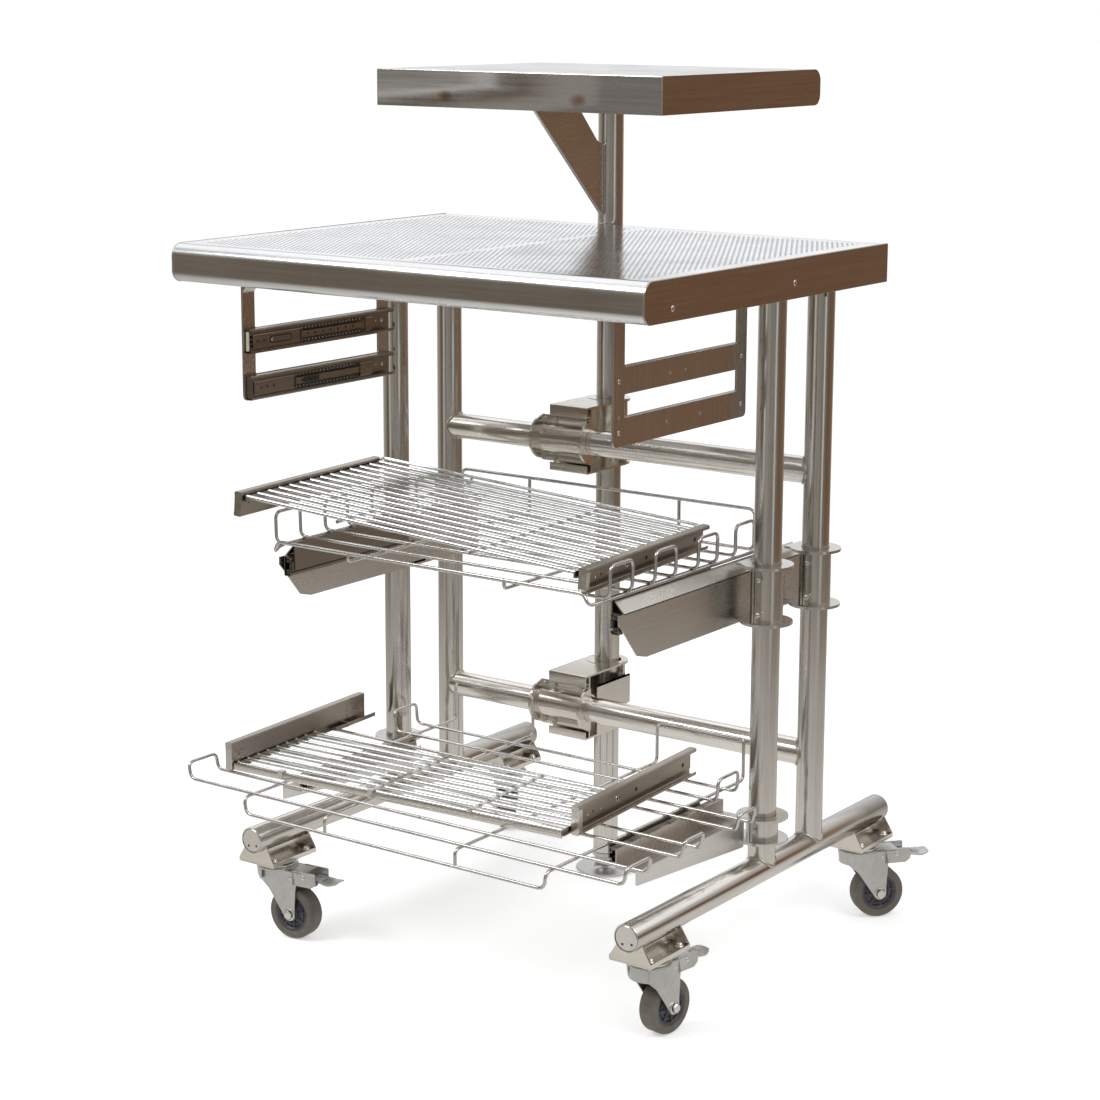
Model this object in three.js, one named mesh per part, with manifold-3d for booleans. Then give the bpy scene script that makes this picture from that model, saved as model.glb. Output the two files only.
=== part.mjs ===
// Instrument cart for a veterinary clinic: a welded tube frame on four braked castors, a perforated
// worktop, an overshelf on a centre column held by crossover clamps, drawer slides under the worktop,
// and two wire baskets with loose wire racks on bracket arms.
// Millimetres, +Z up. Origin on the floor, midway between the two sides, level with the front posts.
// +X is the user's right when facing the rolled front edge, which faces -Y.
import * as THREE from "three";
import { mergeVertices } from "three/addons/utils/BufferGeometryUtils.js";
import Module from "manifold-3d";

const wasm = await Module();
wasm.setup();

// ---------------------------------------------------------------- driving dimensions
const GAP = 0.3; // clearance between neighbouring pieces
const SHEET = 1.5;

const BASE_Z = 162; // centre height of the base tubes
const TUBE_R = 20;
const TUBE_WALL = 1.5;
const BORE_R = TUBE_R - TUBE_WALL;
const CLEAR_R = TUBE_R + GAP; // hole or shell that fits round a tube
const HALF_WIDTH = 337.2; // posts and base tubes, from the centre plane
const BASE_FRONT = -348;
const BASE_BACK = 347;
const FRONT_POST_Y = 0;
const REAR_POST_Y = 135;
const LOWER_CROSS_Z = BASE_Z + 138.5;
const UPPER_CROSS_Z = BASE_Z + 563.5;

const TOP_Z = BASE_Z + 891; // upper face of the worktop
const UNDER_TOP = TOP_Z - SHEET - GAP; // upper end of whatever stands below the worktop sheet
const TOP_HALF_X = 402.3;
const TOP_FRONT = -417;
const TOP_BACK = 208;
const SKIRT = 54.7; // depth of the worktop and of the overshelf
const LIP = 14;

const SHELF_TOP = BASE_Z + 1126;
const UNDER_SHELF = SHELF_TOP - SHEET - GAP;
const SHELF_X = [-365, 153];
const SHELF_FRONT = -4;
const SHELF_BACK = 438;
const COLUMN_X = -98;
const COLUMN_Y = 235;
const COLUMN_BOTTOM = 33;

const MID_BASE_Z = BASE_Z + 454; // lengthways wires of the mid basket
const LOW_BASE_Z = BASE_Z + 104; // lengthways wires of the bottom basket

// ---------------------------------------------------------------- solids from three.js geometry
const MERGE_TOLERANCE = 1e-4;

function solid(geometry) {
  for (const key of Object.keys(geometry.attributes))
    if (key !== "position") geometry.deleteAttribute(key);
  const merged = mergeVertices(geometry, MERGE_TOLERANCE);
  const vertProperties = new Float32Array(merged.attributes.position.array);
  const triVerts = new Uint32Array(merged.index.array);
  const build = () =>
    new wasm.Manifold(new wasm.Mesh({ numProp: 3, vertProperties, triVerts }));
  const body = build();
  if (body.volume() >= 0) return body;
  // Inside out: turn every triangle over.
  for (let i = 0; i < triVerts.length; i += 3)
    [triVerts[i + 1], triVerts[i + 2]] = [triVerts[i + 2], triVerts[i + 1]];
  return build();
}
const join = (...list) => list.flat().reduce((sum, body) => sum.add(body));
const cut = (body, ...tools) => tools.flat().reduce((rest, tool) => rest.subtract(tool), body);

// Ranges are [low, high] pairs.
const around = (centre, half) => [centre - half, centre + half];
// From near to far of an origin, in the direction of sign, ordered low to high.
const span = (sign, near, far, origin = 0) =>
  [origin + sign * near, origin + sign * far].sort((low, high) => low - high);

function box(...ranges) {
  const sizes = ranges.map(([low, high]) => high - low);
  const centre = ranges.map(([low, high]) => (low + high) / 2);
  return solid(new THREE.BoxGeometry(...sizes).translate(...centre));
}

// Rows of the matrix that stands an extrusion along each axis.
const PRISM_FRAMES = {
  x: ([from]) => [0, 0, 1, from, 1, 0, 0, 0, 0, 1, 0, 0, 0, 0, 0, 1],
  y: ([, to]) => [1, 0, 0, 0, 0, 0, -1, to, 0, 1, 0, 0, 0, 0, 0, 1],
  z: ([from]) => [1, 0, 0, 0, 0, 1, 0, 0, 0, 0, 1, from, 0, 0, 0, 1],
};
// A prism along an axis: the outline is (y, z) for "x", (x, z) for "y" and (x, y) for "z".
function prism(axis, outline, range, holes = []) {
  const vectors = (points) => points.map((point) => new THREE.Vector2(...point));
  const shape = new THREE.Shape(vectors(outline));
  for (const hole of holes) shape.holes.push(new THREE.Path(vectors(hole)));
  const geometry = new THREE.ExtrudeGeometry(shape, {
    depth: range[1] - range[0],
    bevelEnabled: false,
    steps: 1,
  });
  const frame = new THREE.Matrix4().set(...PRISM_FRAMES[axis](range));
  return solid(geometry.applyMatrix4(frame));
}

// Outlines; angles are in degrees.
function arc([across, up], radius, from, to, steps) {
  const points = [];
  for (let i = 0; i <= steps; i++) {
    const angle = ((from + ((to - from) * i) / steps) * Math.PI) / 180;
    points.push([across + radius * Math.cos(angle), up + radius * Math.sin(angle)]);
  }
  return points;
}
const circle = (centre, radius, sides, turn = 0) =>
  arc(centre, radius, turn, turn + 360 - 360 / sides, sides - 1);
const ringSector = (centre, inner, outer, from, to, steps) => [
  ...arc(centre, outer, from, to, steps),
  ...arc(centre, inner, to, from, steps),
];
// Half of a round shell or flange, open towards the angle opposite to "middle".
const halfRing = (centre, inner, outer, middle, steps = 10) =>
  ringSector(centre, inner, outer, middle - 90, middle + 90, steps);
const mirrored = (sign, outline) => outline.map(([across, up]) => [sign * across, up]);
const aboveBase = (outline) => outline.map(([across, up]) => [across, BASE_Z + up]);

const rod = (axis, centre, radius, range, sides, turn) =>
  prism(axis, circle(centre, radius, sides, turn), range);
const tube = (axis, centre, radius, range) => rod(axis, centre, radius, range, 24, 7.5);
const bore = (axis, centre, range) => rod(axis, centre, BORE_R, range, 14);
const BOLT_R = 3.4;
const bolt = (axis, centre, range) => rod(axis, centre, BOLT_R, range, 6);

// ---------------------------------------------------------------- bent wire
const WIRE_R = 2.5;
const WIRE_CORNER_R = WIRE_R * 1.2; // corner radius of the four-sided section

// Visits exactly the given points, each section lying across the bisector of its corner.
class BentWire extends THREE.Curve {
  constructor(points) {
    super();
    this.points = points;
  }
  indexAt(fraction) {
    return Math.round(fraction * (this.points.length - 1));
  }
  getPointAt(fraction) {
    return this.points[this.indexAt(fraction)].clone();
  }
  getTangentAt(fraction) {
    const i = this.indexAt(fraction);
    const { points } = this;
    const tangent = new THREE.Vector3();
    if (i > 0) tangent.add(points[i].clone().sub(points[i - 1]).normalize());
    if (i < points.length - 1)
      tangent.add(points[i + 1].clone().sub(points[i]).normalize());
    return tangent.normalize();
  }
}
// Replaces each inner corner by two points, "bend" before and after it.
function chamfered(points, bend) {
  const corners = points.map((point) => new THREE.Vector3(...point));
  const path = [corners[0]];
  for (let i = 1; i < corners.length - 1; i++) {
    const before = corners[i - 1].clone().sub(corners[i]);
    const after = corners[i + 1].clone().sub(corners[i]);
    const reach = Math.min(bend, before.length() * 0.49, after.length() * 0.49);
    for (const leg of [before, after])
      path.push(corners[i].clone().addScaledVector(leg.normalize(), reach));
  }
  path.push(corners[corners.length - 1]);
  return path;
}
function wire(points, bend) {
  const path = new BentWire(chamfered(points, bend));
  const section = new THREE.Shape(
    circle([0, 0], WIRE_CORNER_R, 4, 45).map((point) => new THREE.Vector2(...point)),
  );
  return solid(
    new THREE.ExtrudeGeometry(section, {
      steps: path.points.length - 1,
      extrudePath: path,
      bevelEnabled: false,
    }),
  );
}

// ---------------------------------------------------------------- materials and scene graph
const STEEL = { color: 0xb9b4ad, roughness: 0.28, metalness: 1 };
const BRUSHED = { color: 0x9d968f, roughness: 0.38, metalness: 1 };
const CHROME = { color: 0xcfcdca, roughness: 0.14, metalness: 1 };
const ZINC = { color: 0xa9a8a5, roughness: 0.42, metalness: 0.9 };
const SLIDE = { color: 0x6b6057, roughness: 0.4, metalness: 0.9 };
const RUBBER = { color: 0x5c554b, roughness: 0.75, metalness: 0 };

const cart = new THREE.Group();
const SIDES = [
  ["left", -1],
  ["right", 1],
];

function add(name, body, look, parent = cart) {
  const data = body.getMesh();
  const geometry = new THREE.BufferGeometry();
  geometry.setAttribute("position", new THREE.Float32BufferAttribute(data.vertProperties, 3));
  geometry.setIndex(new THREE.Uint32BufferAttribute(data.triVerts, 1));
  geometry.computeVertexNormals();
  const material = new THREE.MeshStandardMaterial({ ...look, flatShading: true });
  const mesh = new THREE.Mesh(geometry, material);
  mesh.name = name;
  parent.add(mesh);
}

// ---------------------------------------------------------------- side frames
// Base tube with welded end discs, and two posts coped onto it. The posts open into the base tube,
// and their upper ends stay open just under the worktop sheet.
const END_DISC = 2;

function sideFrame(x) {
  const posts = [FRONT_POST_Y, REAR_POST_Y].map((y) => [x, y]);
  const baseBore = [BASE_FRONT + END_DISC, BASE_BACK - END_DISC];
  return cut(
    join(
      tube("y", [x, BASE_Z], TUBE_R, [BASE_FRONT, BASE_BACK]),
      posts.map((post) => tube("z", post, TUBE_R, [BASE_Z, UNDER_TOP])),
    ),
    join(
      bore("y", [x, BASE_Z], baseBore),
      posts.map((post) => bore("z", post, [BASE_Z, UNDER_TOP + 5])),
    ),
  );
}
for (const [side, sign] of SIDES) add("side_frame_" + side, sideFrame(sign * HALF_WIDTH), STEEL);

// ---------------------------------------------------------------- cross tubes between the rear posts
const CROSS_TUBE_R = TUBE_R - 0.2;

const crossTube = (z) =>
  cut(
    tube("x", [REAR_POST_Y, z], CROSS_TUBE_R, around(0, HALF_WIDTH)),
    bore("x", [REAR_POST_Y, z], around(0, HALF_WIDTH + 5)),
    SIDES.map(([, sign]) =>
      tube("z", [sign * HALF_WIDTH, REAR_POST_Y], CLEAR_R, around(z, 40)),
    ),
  );
add("cross_tube_lower", crossTube(LOWER_CROSS_Z), STEEL);
add("cross_tube_upper", crossTube(UPPER_CROSS_Z), STEEL);

// ---------------------------------------------------------------- worktop
const END_PLATE = 2; // thickness
const PANEL_X = TOP_HALF_X - END_PLATE - GAP;
const STIFFENER_HALF = 24;
const STIFFENER_BOTTOM = TOP_Z - 22;
// Pins on the end plates: [y, distance below the worktop].
const END_PINS = [
  [-353, 38],
  [-52, 33],
];

// Section (y, z) of a sheet pan with a rolled front edge and a square back edge.
function rolledOutline(front, back, top, inset) {
  const upperR = 18;
  const lowerR = 16;
  const bottom = top - SKIRT;
  return [
    [back - inset, bottom + inset],
    [back - inset, top - inset],
    ...arc([front + upperR, top - upperR], upperR - inset, 90, 180, 6),
    ...arc([front + lowerR, bottom + lowerR], lowerR - inset, 180, 270, 4),
  ];
}
const topOutline = (inset) => rolledOutline(TOP_FRONT, TOP_BACK, TOP_Z, inset);

// Channel along the middle of the underside, with a slot in its lower web.
const stiffener = () =>
  cut(
    box(
      around(0, STIFFENER_HALF),
      [TOP_FRONT + 20, TOP_BACK - SHEET - 0.2],
      [STIFFENER_BOTTOM, TOP_Z - 0.7],
    ),
    box(
      around(0, STIFFENER_HALF - SHEET),
      [TOP_FRONT, TOP_BACK + 5],
      [STIFFENER_BOTTOM + SHEET, TOP_Z - SHEET],
    ),
    box(around(0, 14), [TOP_FRONT + 40, TOP_BACK - 20], [TOP_Z - 25, TOP_Z - 18]),
  );
// The opening underneath leaves a lip along the front and the back.
const worktopPanel = () =>
  join(
    cut(
      prism("x", topOutline(0), around(0, PANEL_X)),
      prism("x", topOutline(SHEET), around(0, PANEL_X + 5)),
      box(
        around(0, PANEL_X + 5),
        [TOP_FRONT + LIP + 8, TOP_BACK - LIP],
        around(TOP_Z - SKIRT, 5),
      ),
    ),
    stiffener(),
  );
function worktopEndPlate(sign) {
  const pinX = span(sign, TOP_HALF_X - 0.5, TOP_HALF_X + 1.4);
  return join(
    prism("x", topOutline(0), span(sign, TOP_HALF_X - END_PLATE, TOP_HALF_X)),
    END_PINS.map(([y, drop]) => rod("x", [y, TOP_Z - drop], 3.2, pinX, 8)),
  );
}
add("worktop_panel", worktopPanel(), STEEL);
for (const [side, sign] of SIDES) add("worktop_end_plate_" + side, worktopEndPlate(sign), BRUSHED);

// ---------------------------------------------------------------- drawer slide sections
// Rows are [distance from the mounting face towards the cart's centre, height from the slide's
// centre line]; "half" is half the height of the fixed section.
const fixedSection = (half) => [
  [0, -half], [12.7, -half], [12.7, -half + 5.2], [11.3, -half + 5.2],
  [11.3, -half + 1.4], [1.4, -half + 1.4], [1.4, half - 1.4], [11.3, half - 1.4],
  [11.3, half - 5.2], [12.7, half - 5.2], [12.7, half], [0, half],
];
const movingSection = (half) => [
  [3, -half + 2.6], [10.3, -half + 2.6], [10.3, -half + 7.5], [14.5, -half + 7.5],
  [14.5, half - 7.5], [10.3, half - 7.5], [10.3, half - 2.6], [3, half - 2.6],
  [3, half - 4.1], [8.8, half - 4.1], [8.8, half - 9], [13, half - 9],
  [13, -half + 9], [8.8, -half + 9], [8.8, -half + 4.1], [3, -half + 4.1],
];
function slideBar(section, sign, face, z, range) {
  const outline = section.map(([depth, up]) => [sign * (face - depth), z + up]);
  return prism("y", outline, range);
}

// Fixed slide, and moving slide with an upright plate on its inner face.
function addBasketSlides(level, side, sign, spec) {
  const { face, half, z, fixedY, movingY, plateDepth, plateY, plateZ } = spec;
  const fixed = slideBar(fixedSection(half), sign, face, z, fixedY);
  add(`${level}_slide_fixed_${side}`, fixed, SLIDE);
  const moving = join(
    slideBar(movingSection(half), sign, face, z, movingY),
    box(span(sign, face - plateDepth[1], face - plateDepth[0]), plateY, plateZ),
  );
  add(`${level}_slide_moving_${side}`, moving, SLIDE);
}

// ---------------------------------------------------------------- hanger frames under the worktop
const HANGER_X = { left: 326, right: 316.5 }; // outer face of the sheets
const HANGER_FRONT = -358;
const HANGER_BACK = -33;
const HANGER_BOTTOM = BASE_Z + 665;
const HANGER_T = 3;
const HANGER_BAR = 25.5; // width of the sheet in front of and behind its windows
const HANGER_CORNER_R = 8;
const HANGER_WINDOWS = [
  [BASE_Z + 702.5, BASE_Z + 733],
  [BASE_Z + 769, UNDER_TOP - 14],
];
const HANGER_SLIDE_HALF = 17.5;
const HANGER_SLIDE_Z = { upper: BASE_Z + 751, lower: BASE_Z + 684 };
// The right-hand slides start further back behind the sheet.
const HANGER_SLIDE_FRONT = { left: -355, right: -337 };
const hangerFace = (side) => HANGER_X[side] - HANGER_T + 0.2;

function hangerSheet(xRange) {
  const corner = HANGER_CORNER_R;
  const front = HANGER_FRONT + HANGER_BAR;
  const back = HANGER_BACK - HANGER_BAR;
  const outline = [
    ...arc([HANGER_FRONT + corner, HANGER_BOTTOM + corner], corner, 180, 270, 2),
    ...arc([HANGER_BACK - corner, HANGER_BOTTOM + corner], corner, 270, 360, 2),
    [HANGER_BACK, UNDER_TOP],
    [HANGER_FRONT, UNDER_TOP],
  ];
  const windows = HANGER_WINDOWS.map(([low, high]) => [
    [front, low],
    [back, low],
    [back, high],
    [front, high],
  ]);
  return prism("x", outline, xRange, windows);
}
function hangerFrame(side, sign) {
  const outerX = HANGER_X[side];
  const heights = Object.values(HANGER_SLIDE_Z);
  const section = fixedSection(HANGER_SLIDE_HALF);
  const slideY = [HANGER_SLIDE_FRONT[side], -35];
  const rivetX = span(sign, outerX - 0.5, outerX + 1.2);
  return join(
    hangerSheet(span(sign, outerX - HANGER_T, outerX)),
    box(
      span(sign, outerX - 22, outerX - 1),
      [HANGER_FRONT, HANGER_BACK],
      [UNDER_TOP - 2.5, UNDER_TOP],
    ),
    heights.map((z) => slideBar(section, sign, hangerFace(side), z, slideY)),
    [HANGER_FRONT + 13, HANGER_BACK - 13].flatMap((y) =>
      heights.map((z) => rod("x", [y, z], 3, rivetX, 6)),
    ),
  );
}
for (const [side, sign] of SIDES) {
  add("hanger_frame_" + side, hangerFrame(side, sign), BRUSHED);
  const slideY = [HANGER_SLIDE_FRONT[side] + 3, -90];
  for (const [level, z] of Object.entries(HANGER_SLIDE_Z)) {
    const section = movingSection(HANGER_SLIDE_HALF);
    const slide = slideBar(section, sign, hangerFace(side), z, slideY);
    add(`hanger_slide_${level}_${side}`, slide, SLIDE);
  }
}

// ---------------------------------------------------------------- crossover clamps
// A folded body holds the cross tube against its front half-shell and the column against its rear
// half-shell. The halves end in C-shaped flanges and are drawn together by strips with bolts.
const SHELL_T = 3;
const CLAMP_FLANGE_R = 34;
const CLAMP_X = around(COLUMN_X, 35);
const FRONT_SHELL_LEFT = COLUMN_X - 58; // the front shell reaches further left than the body
const CLAMP_BOLT_X = around(COLUMN_X, 27);
const COLUMN_AXIS = [COLUMN_X, COLUMN_Y];
// Plate on the right of the lower body: [y from the cross tube, z from the cross tube].
const LOWER_PLATE = [[20, -49], [75, -49], [75, -14], [112, -14], [112, 33], [20, 33]];
const clampHeights = (crossZ) => [crossZ - 50, crossZ + 54];

function clampFrontShell(crossZ) {
  const axis = [REAR_POST_Y, crossZ];
  const [left, right] = [FRONT_SHELL_LEFT, CLAMP_X[1]];
  const flange = halfRing(axis, CLEAR_R, CLAMP_FLANGE_R, 180);
  const stripX = [left + 4, right];
  const stripY = [REAR_POST_Y - 4.2, REAR_POST_Y - 0.5];
  const boltY = [REAR_POST_Y - 7.5, REAR_POST_Y - 3];
  return cut(
    join(
      prism("x", halfRing(axis, CLEAR_R, CLEAR_R + SHELL_T, 180), [left + 1, right + 3]),
      prism("x", flange, [left, left + 4]),
      prism("x", flange, [right, right + 4]),
      box(stripX, stripY, [crossZ + CLEAR_R, crossZ + 36]),
      box(stripX, stripY, [crossZ - 36, crossZ - CLEAR_R]),
      CLAMP_BOLT_X.flatMap((x) => around(crossZ, 29).map((z) => bolt("y", [x, z], boltY))),
    ),
    box([left - 9, right + 9], [REAR_POST_Y - 0.4, REAR_POST_Y + 40], around(crossZ, 60)),
  );
}

function clampBody(crossZ, withPlate) {
  const crossY = REAR_POST_Y;
  const [bottom, top] = clampHeights(crossZ);
  const [left, right] = CLAMP_X;
  const bottomPlateZ = [bottom, bottom + SHELL_T];
  const topPlateZ = [top - SHELL_T, top];
  const plateY = [crossY - 10, COLUMN_Y - 8];
  const frontTabY = [crossY - 10, crossY - 7.8];
  const crossStripY = [crossY + 0.5, crossY + 3.5];
  const columnFlange = halfRing(COLUMN_AXIS, CLEAR_R, CLAMP_FLANGE_R, 270);
  const columnShell = halfRing(COLUMN_AXIS, CLEAR_R, CLEAR_R + SHELL_T, 270);
  const crossShell = halfRing([crossY, crossZ], CLEAR_R, CLEAR_R + SHELL_T, 0);
  const columnStrip = (sign) =>
    box(
      span(sign, CLEAR_R, CLAMP_FLANGE_R, COLUMN_X),
      [COLUMN_Y - 3.5, COLUMN_Y - 0.5],
      [bottom + 1, top - 1],
    );
  const parts = [
    box(CLAMP_X, plateY, topPlateZ),
    box(CLAMP_X, plateY, bottomPlateZ),
    box(CLAMP_X, frontTabY, [crossZ + 37, top - 1]),
    box(CLAMP_X, frontTabY, [bottom + 1, crossZ - 37]),
    prism("x", crossShell, CLAMP_X),
    box(CLAMP_X, crossStripY, [crossZ + CLEAR_R, top - 2]),
    box(CLAMP_X, crossStripY, [bottom + 2, crossZ - CLEAR_R]),
    prism("z", columnShell, [bottom, top]),
    prism("z", columnFlange, bottomPlateZ),
    prism("z", columnFlange, topPlateZ),
    columnStrip(-1),
    columnStrip(1),
    box(around(COLUMN_X, 2), [crossY + 21, COLUMN_Y - 21], [bottom + 2, top - 2]),
  ];
  if (withPlate) {
    const outline = LOWER_PLATE.map(([y, z]) => [crossY + y, crossZ + z]);
    parts.push(prism("x", outline, [right - 0.5, right + 2]));
  }
  return cut(
    join(parts),
    tube("z", COLUMN_AXIS, CLEAR_R, around(crossZ, 80)),
    tube("x", [crossY, crossZ], CLEAR_R, [left - 20, right + 20]),
    // Keeps the body in front of the column's centre, except for the lower plate.
    box([left - 10, right - 0.6], [COLUMN_Y - 0.4, COLUMN_Y + 60], around(crossZ, 80)),
  );
}

function clampRearShell(crossZ) {
  const [bottom, top] = clampHeights(crossZ);
  const flange = halfRing(COLUMN_AXIS, CLEAR_R, CLAMP_FLANGE_R, 90);
  const stripY = [COLUMN_Y + 0.5, COLUMN_Y + 3.5];
  const boltY = [COLUMN_Y + 3, COLUMN_Y + 6.5];
  return cut(
    join(
      prism("z", halfRing(COLUMN_AXIS, CLEAR_R, CLEAR_R + SHELL_T, 90), [bottom, top]),
      prism("z", flange, [bottom, bottom + 4]),
      prism("z", flange, [top - 4, top]),
      [-1, 1].map((sign) => box(span(sign, CLEAR_R, 33, COLUMN_X), stripY, [bottom, top])),
      CLAMP_BOLT_X.flatMap((x) =>
        [bottom + 20, top - 20].map((z) => bolt("y", [x, z], boltY)),
      ),
    ),
    box(around(COLUMN_X, 50), [COLUMN_Y - 40, COLUMN_Y + 0.4], around(crossZ, 60)),
  );
}
for (const [level, crossZ] of [
  ["upper", UPPER_CROSS_Z],
  ["lower", LOWER_CROSS_Z],
]) {
  add(level + "_clamp_front_shell", clampFrontShell(crossZ), BRUSHED);
  add(level + "_clamp_body", clampBody(crossZ, level === "lower"), BRUSHED);
  add(level + "_clamp_rear_shell", clampRearShell(crossZ), BRUSHED);
}

// ---------------------------------------------------------------- column, gusset, foot and overshelf
const FOOT_TOP = 6.5;
// [y, z]; reaches forward from the column to the underside of the overshelf.
const GUSSET = [
  [COLUMN_Y - TUBE_R + 1, BASE_Z + 905],
  [COLUMN_Y - TUBE_R + 1, BASE_Z + 1010],
  [COLUMN_Y - 40, BASE_Z + 1019],
  [154, BASE_Z + 1062],
  [154, UNDER_SHELF],
  [28, UNDER_SHELF],
  [28, BASE_Z + 1076],
  [COLUMN_Y - TUBE_R - 6, BASE_Z + 905],
];

const column = () =>
  cut(
    join(
      tube("z", COLUMN_AXIS, TUBE_R, [COLUMN_BOTTOM, UNDER_SHELF]),
      prism("x", GUSSET, around(COLUMN_X, 2)),
    ),
    bore("z", COLUMN_AXIS, [0, UNDER_SHELF + 5]),
  );
// Disc, spigot that enters the column, and collar just below its end.
const columnFoot = () =>
  join(
    rod("z", COLUMN_AXIS, 47.5, [2, FOOT_TOP], 32),
    rod("z", COLUMN_AXIS, 16.5, [FOOT_TOP - 1, COLUMN_BOTTOM + 24], 14),
    rod("z", COLUMN_AXIS, 21, [COLUMN_BOTTOM - 7, COLUMN_BOTTOM - GAP], 24),
  );
// The worktop's section turned round, so that the rolled edge faces the back.
function overshelf() {
  const [left, right] = SHELF_X;
  const outline = (inset) =>
    mirrored(-1, rolledOutline(-SHELF_BACK, -SHELF_FRONT, SHELF_TOP, inset));
  return cut(
    prism("x", outline(0), SHELF_X),
    prism("x", outline(SHEET), [left + SHEET, right - SHEET]),
    box(
      [left + LIP, right - LIP],
      [SHELF_FRONT + LIP, SHELF_BACK - LIP - 8],
      around(SHELF_TOP - SKIRT, 5),
    ),
  );
}
add("column", column(), STEEL);
add("column_foot", columnFoot(), ZINC);
add("overshelf", overshelf(), BRUSHED);

// ---------------------------------------------------------------- half-shell clamps round the posts
const RING_R = 37.6; // end flanges
const POST_GRIP = TUBE_R + 0.75; // a shell of flat facets, so its corners stand further off the tube

// One half of a clamp; "facing" is the X direction of the half, -1 or 1.
function postHalf(sign, facing, y, [bottom, top], boltHeights = []) {
  const x = sign * HALF_WIDTH;
  const half = (radius, zRange) =>
    prism("z", halfRing([x, y], POST_GRIP, radius, facing > 0 ? 0 : 180, 7), zRange);
  const strip = (direction) =>
    box(span(facing, 0.5, 3.7, x), span(direction, TUBE_R + 1, 34, y), [bottom, top]);
  return cut(
    join(
      half(POST_GRIP + SHELL_T, [bottom, top]),
      half(RING_R, around(bottom, 2)),
      half(RING_R, around(top, 2)),
      strip(-1),
      strip(1),
      boltHeights.flatMap((z) =>
        around(y, 28).map((boltY) => bolt("x", [boltY, z], span(facing, 3, 6.8, x))),
      ),
    ),
    box(span(facing, -60, 0.4, x), around(y, 60), [bottom - 20, top + 20]),
  );
}

// ---------------------------------------------------------------- mid arms and their slides
const ARM_X = 300; // outer face
const ARM_T = 2;
const ARM_BACK = 158;
const ARM_TOP = BASE_Z + 449;
const MID_RINGS = [BASE_Z + 368, BASE_Z + 450]; // lower and upper clamp flanges
const MID_SLIDE_Z = BASE_Z + 419;
const MID_FACE = ARM_X - 4.8; // mounting face of the slides
// [y, height above the base tubes]
const MID_ARM_PLATE = [
  [-317, 421], [-309, 412], [-273, 369], [-250, 363],
  [ARM_BACK, 363], [ARM_BACK, 432], [-317, 432],
];
// Sloping strip along the upper edge: [x, z].
const MID_ARM_STRIP = [
  [ARM_X - ARM_T, BASE_Z + 431.5], [ARM_X, BASE_Z + 431.5], [ARM_X, BASE_Z + 433],
  [ARM_X - 15.5, ARM_TOP], [ARM_X - 16, ARM_TOP - 1.2],
];
const MID_SLIDES = {
  face: MID_FACE,
  half: 14.7,
  z: MID_SLIDE_Z,
  fixedY: [-311, -24],
  movingY: [-309, -40],
  plateDepth: [14, 16.4],
  plateY: [-305, -60],
  plateZ: [MID_SLIDE_Z - 6, MID_BASE_Z + 1],
};

function midArm(sign) {
  const posts = [FRONT_POST_Y, REAR_POST_Y];
  const webX = span(sign, ARM_X - ARM_T, ARM_X + 11);
  const spacerX = span(sign, MID_FACE + GAP, ARM_X - 1);
  return join(
    prism("x", aboveBase(MID_ARM_PLATE), span(sign, ARM_X - ARM_T, ARM_X)),
    prism("y", mirrored(sign, MID_ARM_STRIP), [-304, ARM_BACK]),
    posts.map((y) => postHalf(sign, -sign, y, MID_RINGS)),
    // Webs that tie the inner half-shells to the arm plate.
    posts.flatMap((y) => MID_RINGS.map((z) => box(webX, around(y, 22), around(z, 2)))),
    // Spacers hold the slide clear of the sloping strip.
    [-290, -165, -50].map((y) => rod("x", [y, MID_SLIDE_Z], 6, spacerX, 8)),
  );
}
for (const [side, sign] of SIDES) {
  add("mid_arm_" + side, midArm(sign), BRUSHED);
  addBasketSlides("mid", side, sign, MID_SLIDES);
  const boltHeights = [MID_RINGS[0] + 14, MID_RINGS[1] - 17];
  for (const [place, y] of [
    ["front", FRONT_POST_Y],
    ["rear", REAR_POST_Y],
  ]) {
    const shell = postHalf(sign, sign, y, MID_RINGS, boltHeights);
    add(`mid_clamp_shell_${place}_${side}`, shell, BRUSHED);
  }
}

// ---------------------------------------------------------------- bottom arms and their slides
const LOW_ARM_X = [284, 319]; // inner and outer faces
const LOW_ARM_Y = [-297, -24];
const LOW_ARM_TOP = BASE_Z + 75;
const LOW_RINGS = [BASE_Z + 46, BASE_Z + 80];
const LOW_SLIDE_Z = BASE_Z + 88;
// Outer skirt: [y, height above the base tubes].
const LOW_SKIRT = [[-297, 55], [-20, 33], [-20, 75], [-297, 75]];
const LOW_SLIDES = {
  face: LOW_ARM_X[0] - GAP,
  half: 12.4,
  z: LOW_SLIDE_Z,
  fixedY: [-294, -26],
  movingY: [-292, -40],
  plateDepth: [14.3, 16.6],
  plateY: [-290, -60],
  plateZ: [LOW_SLIDE_Z - 5, LOW_BASE_Z - WIRE_R - 0.4],
};

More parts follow.
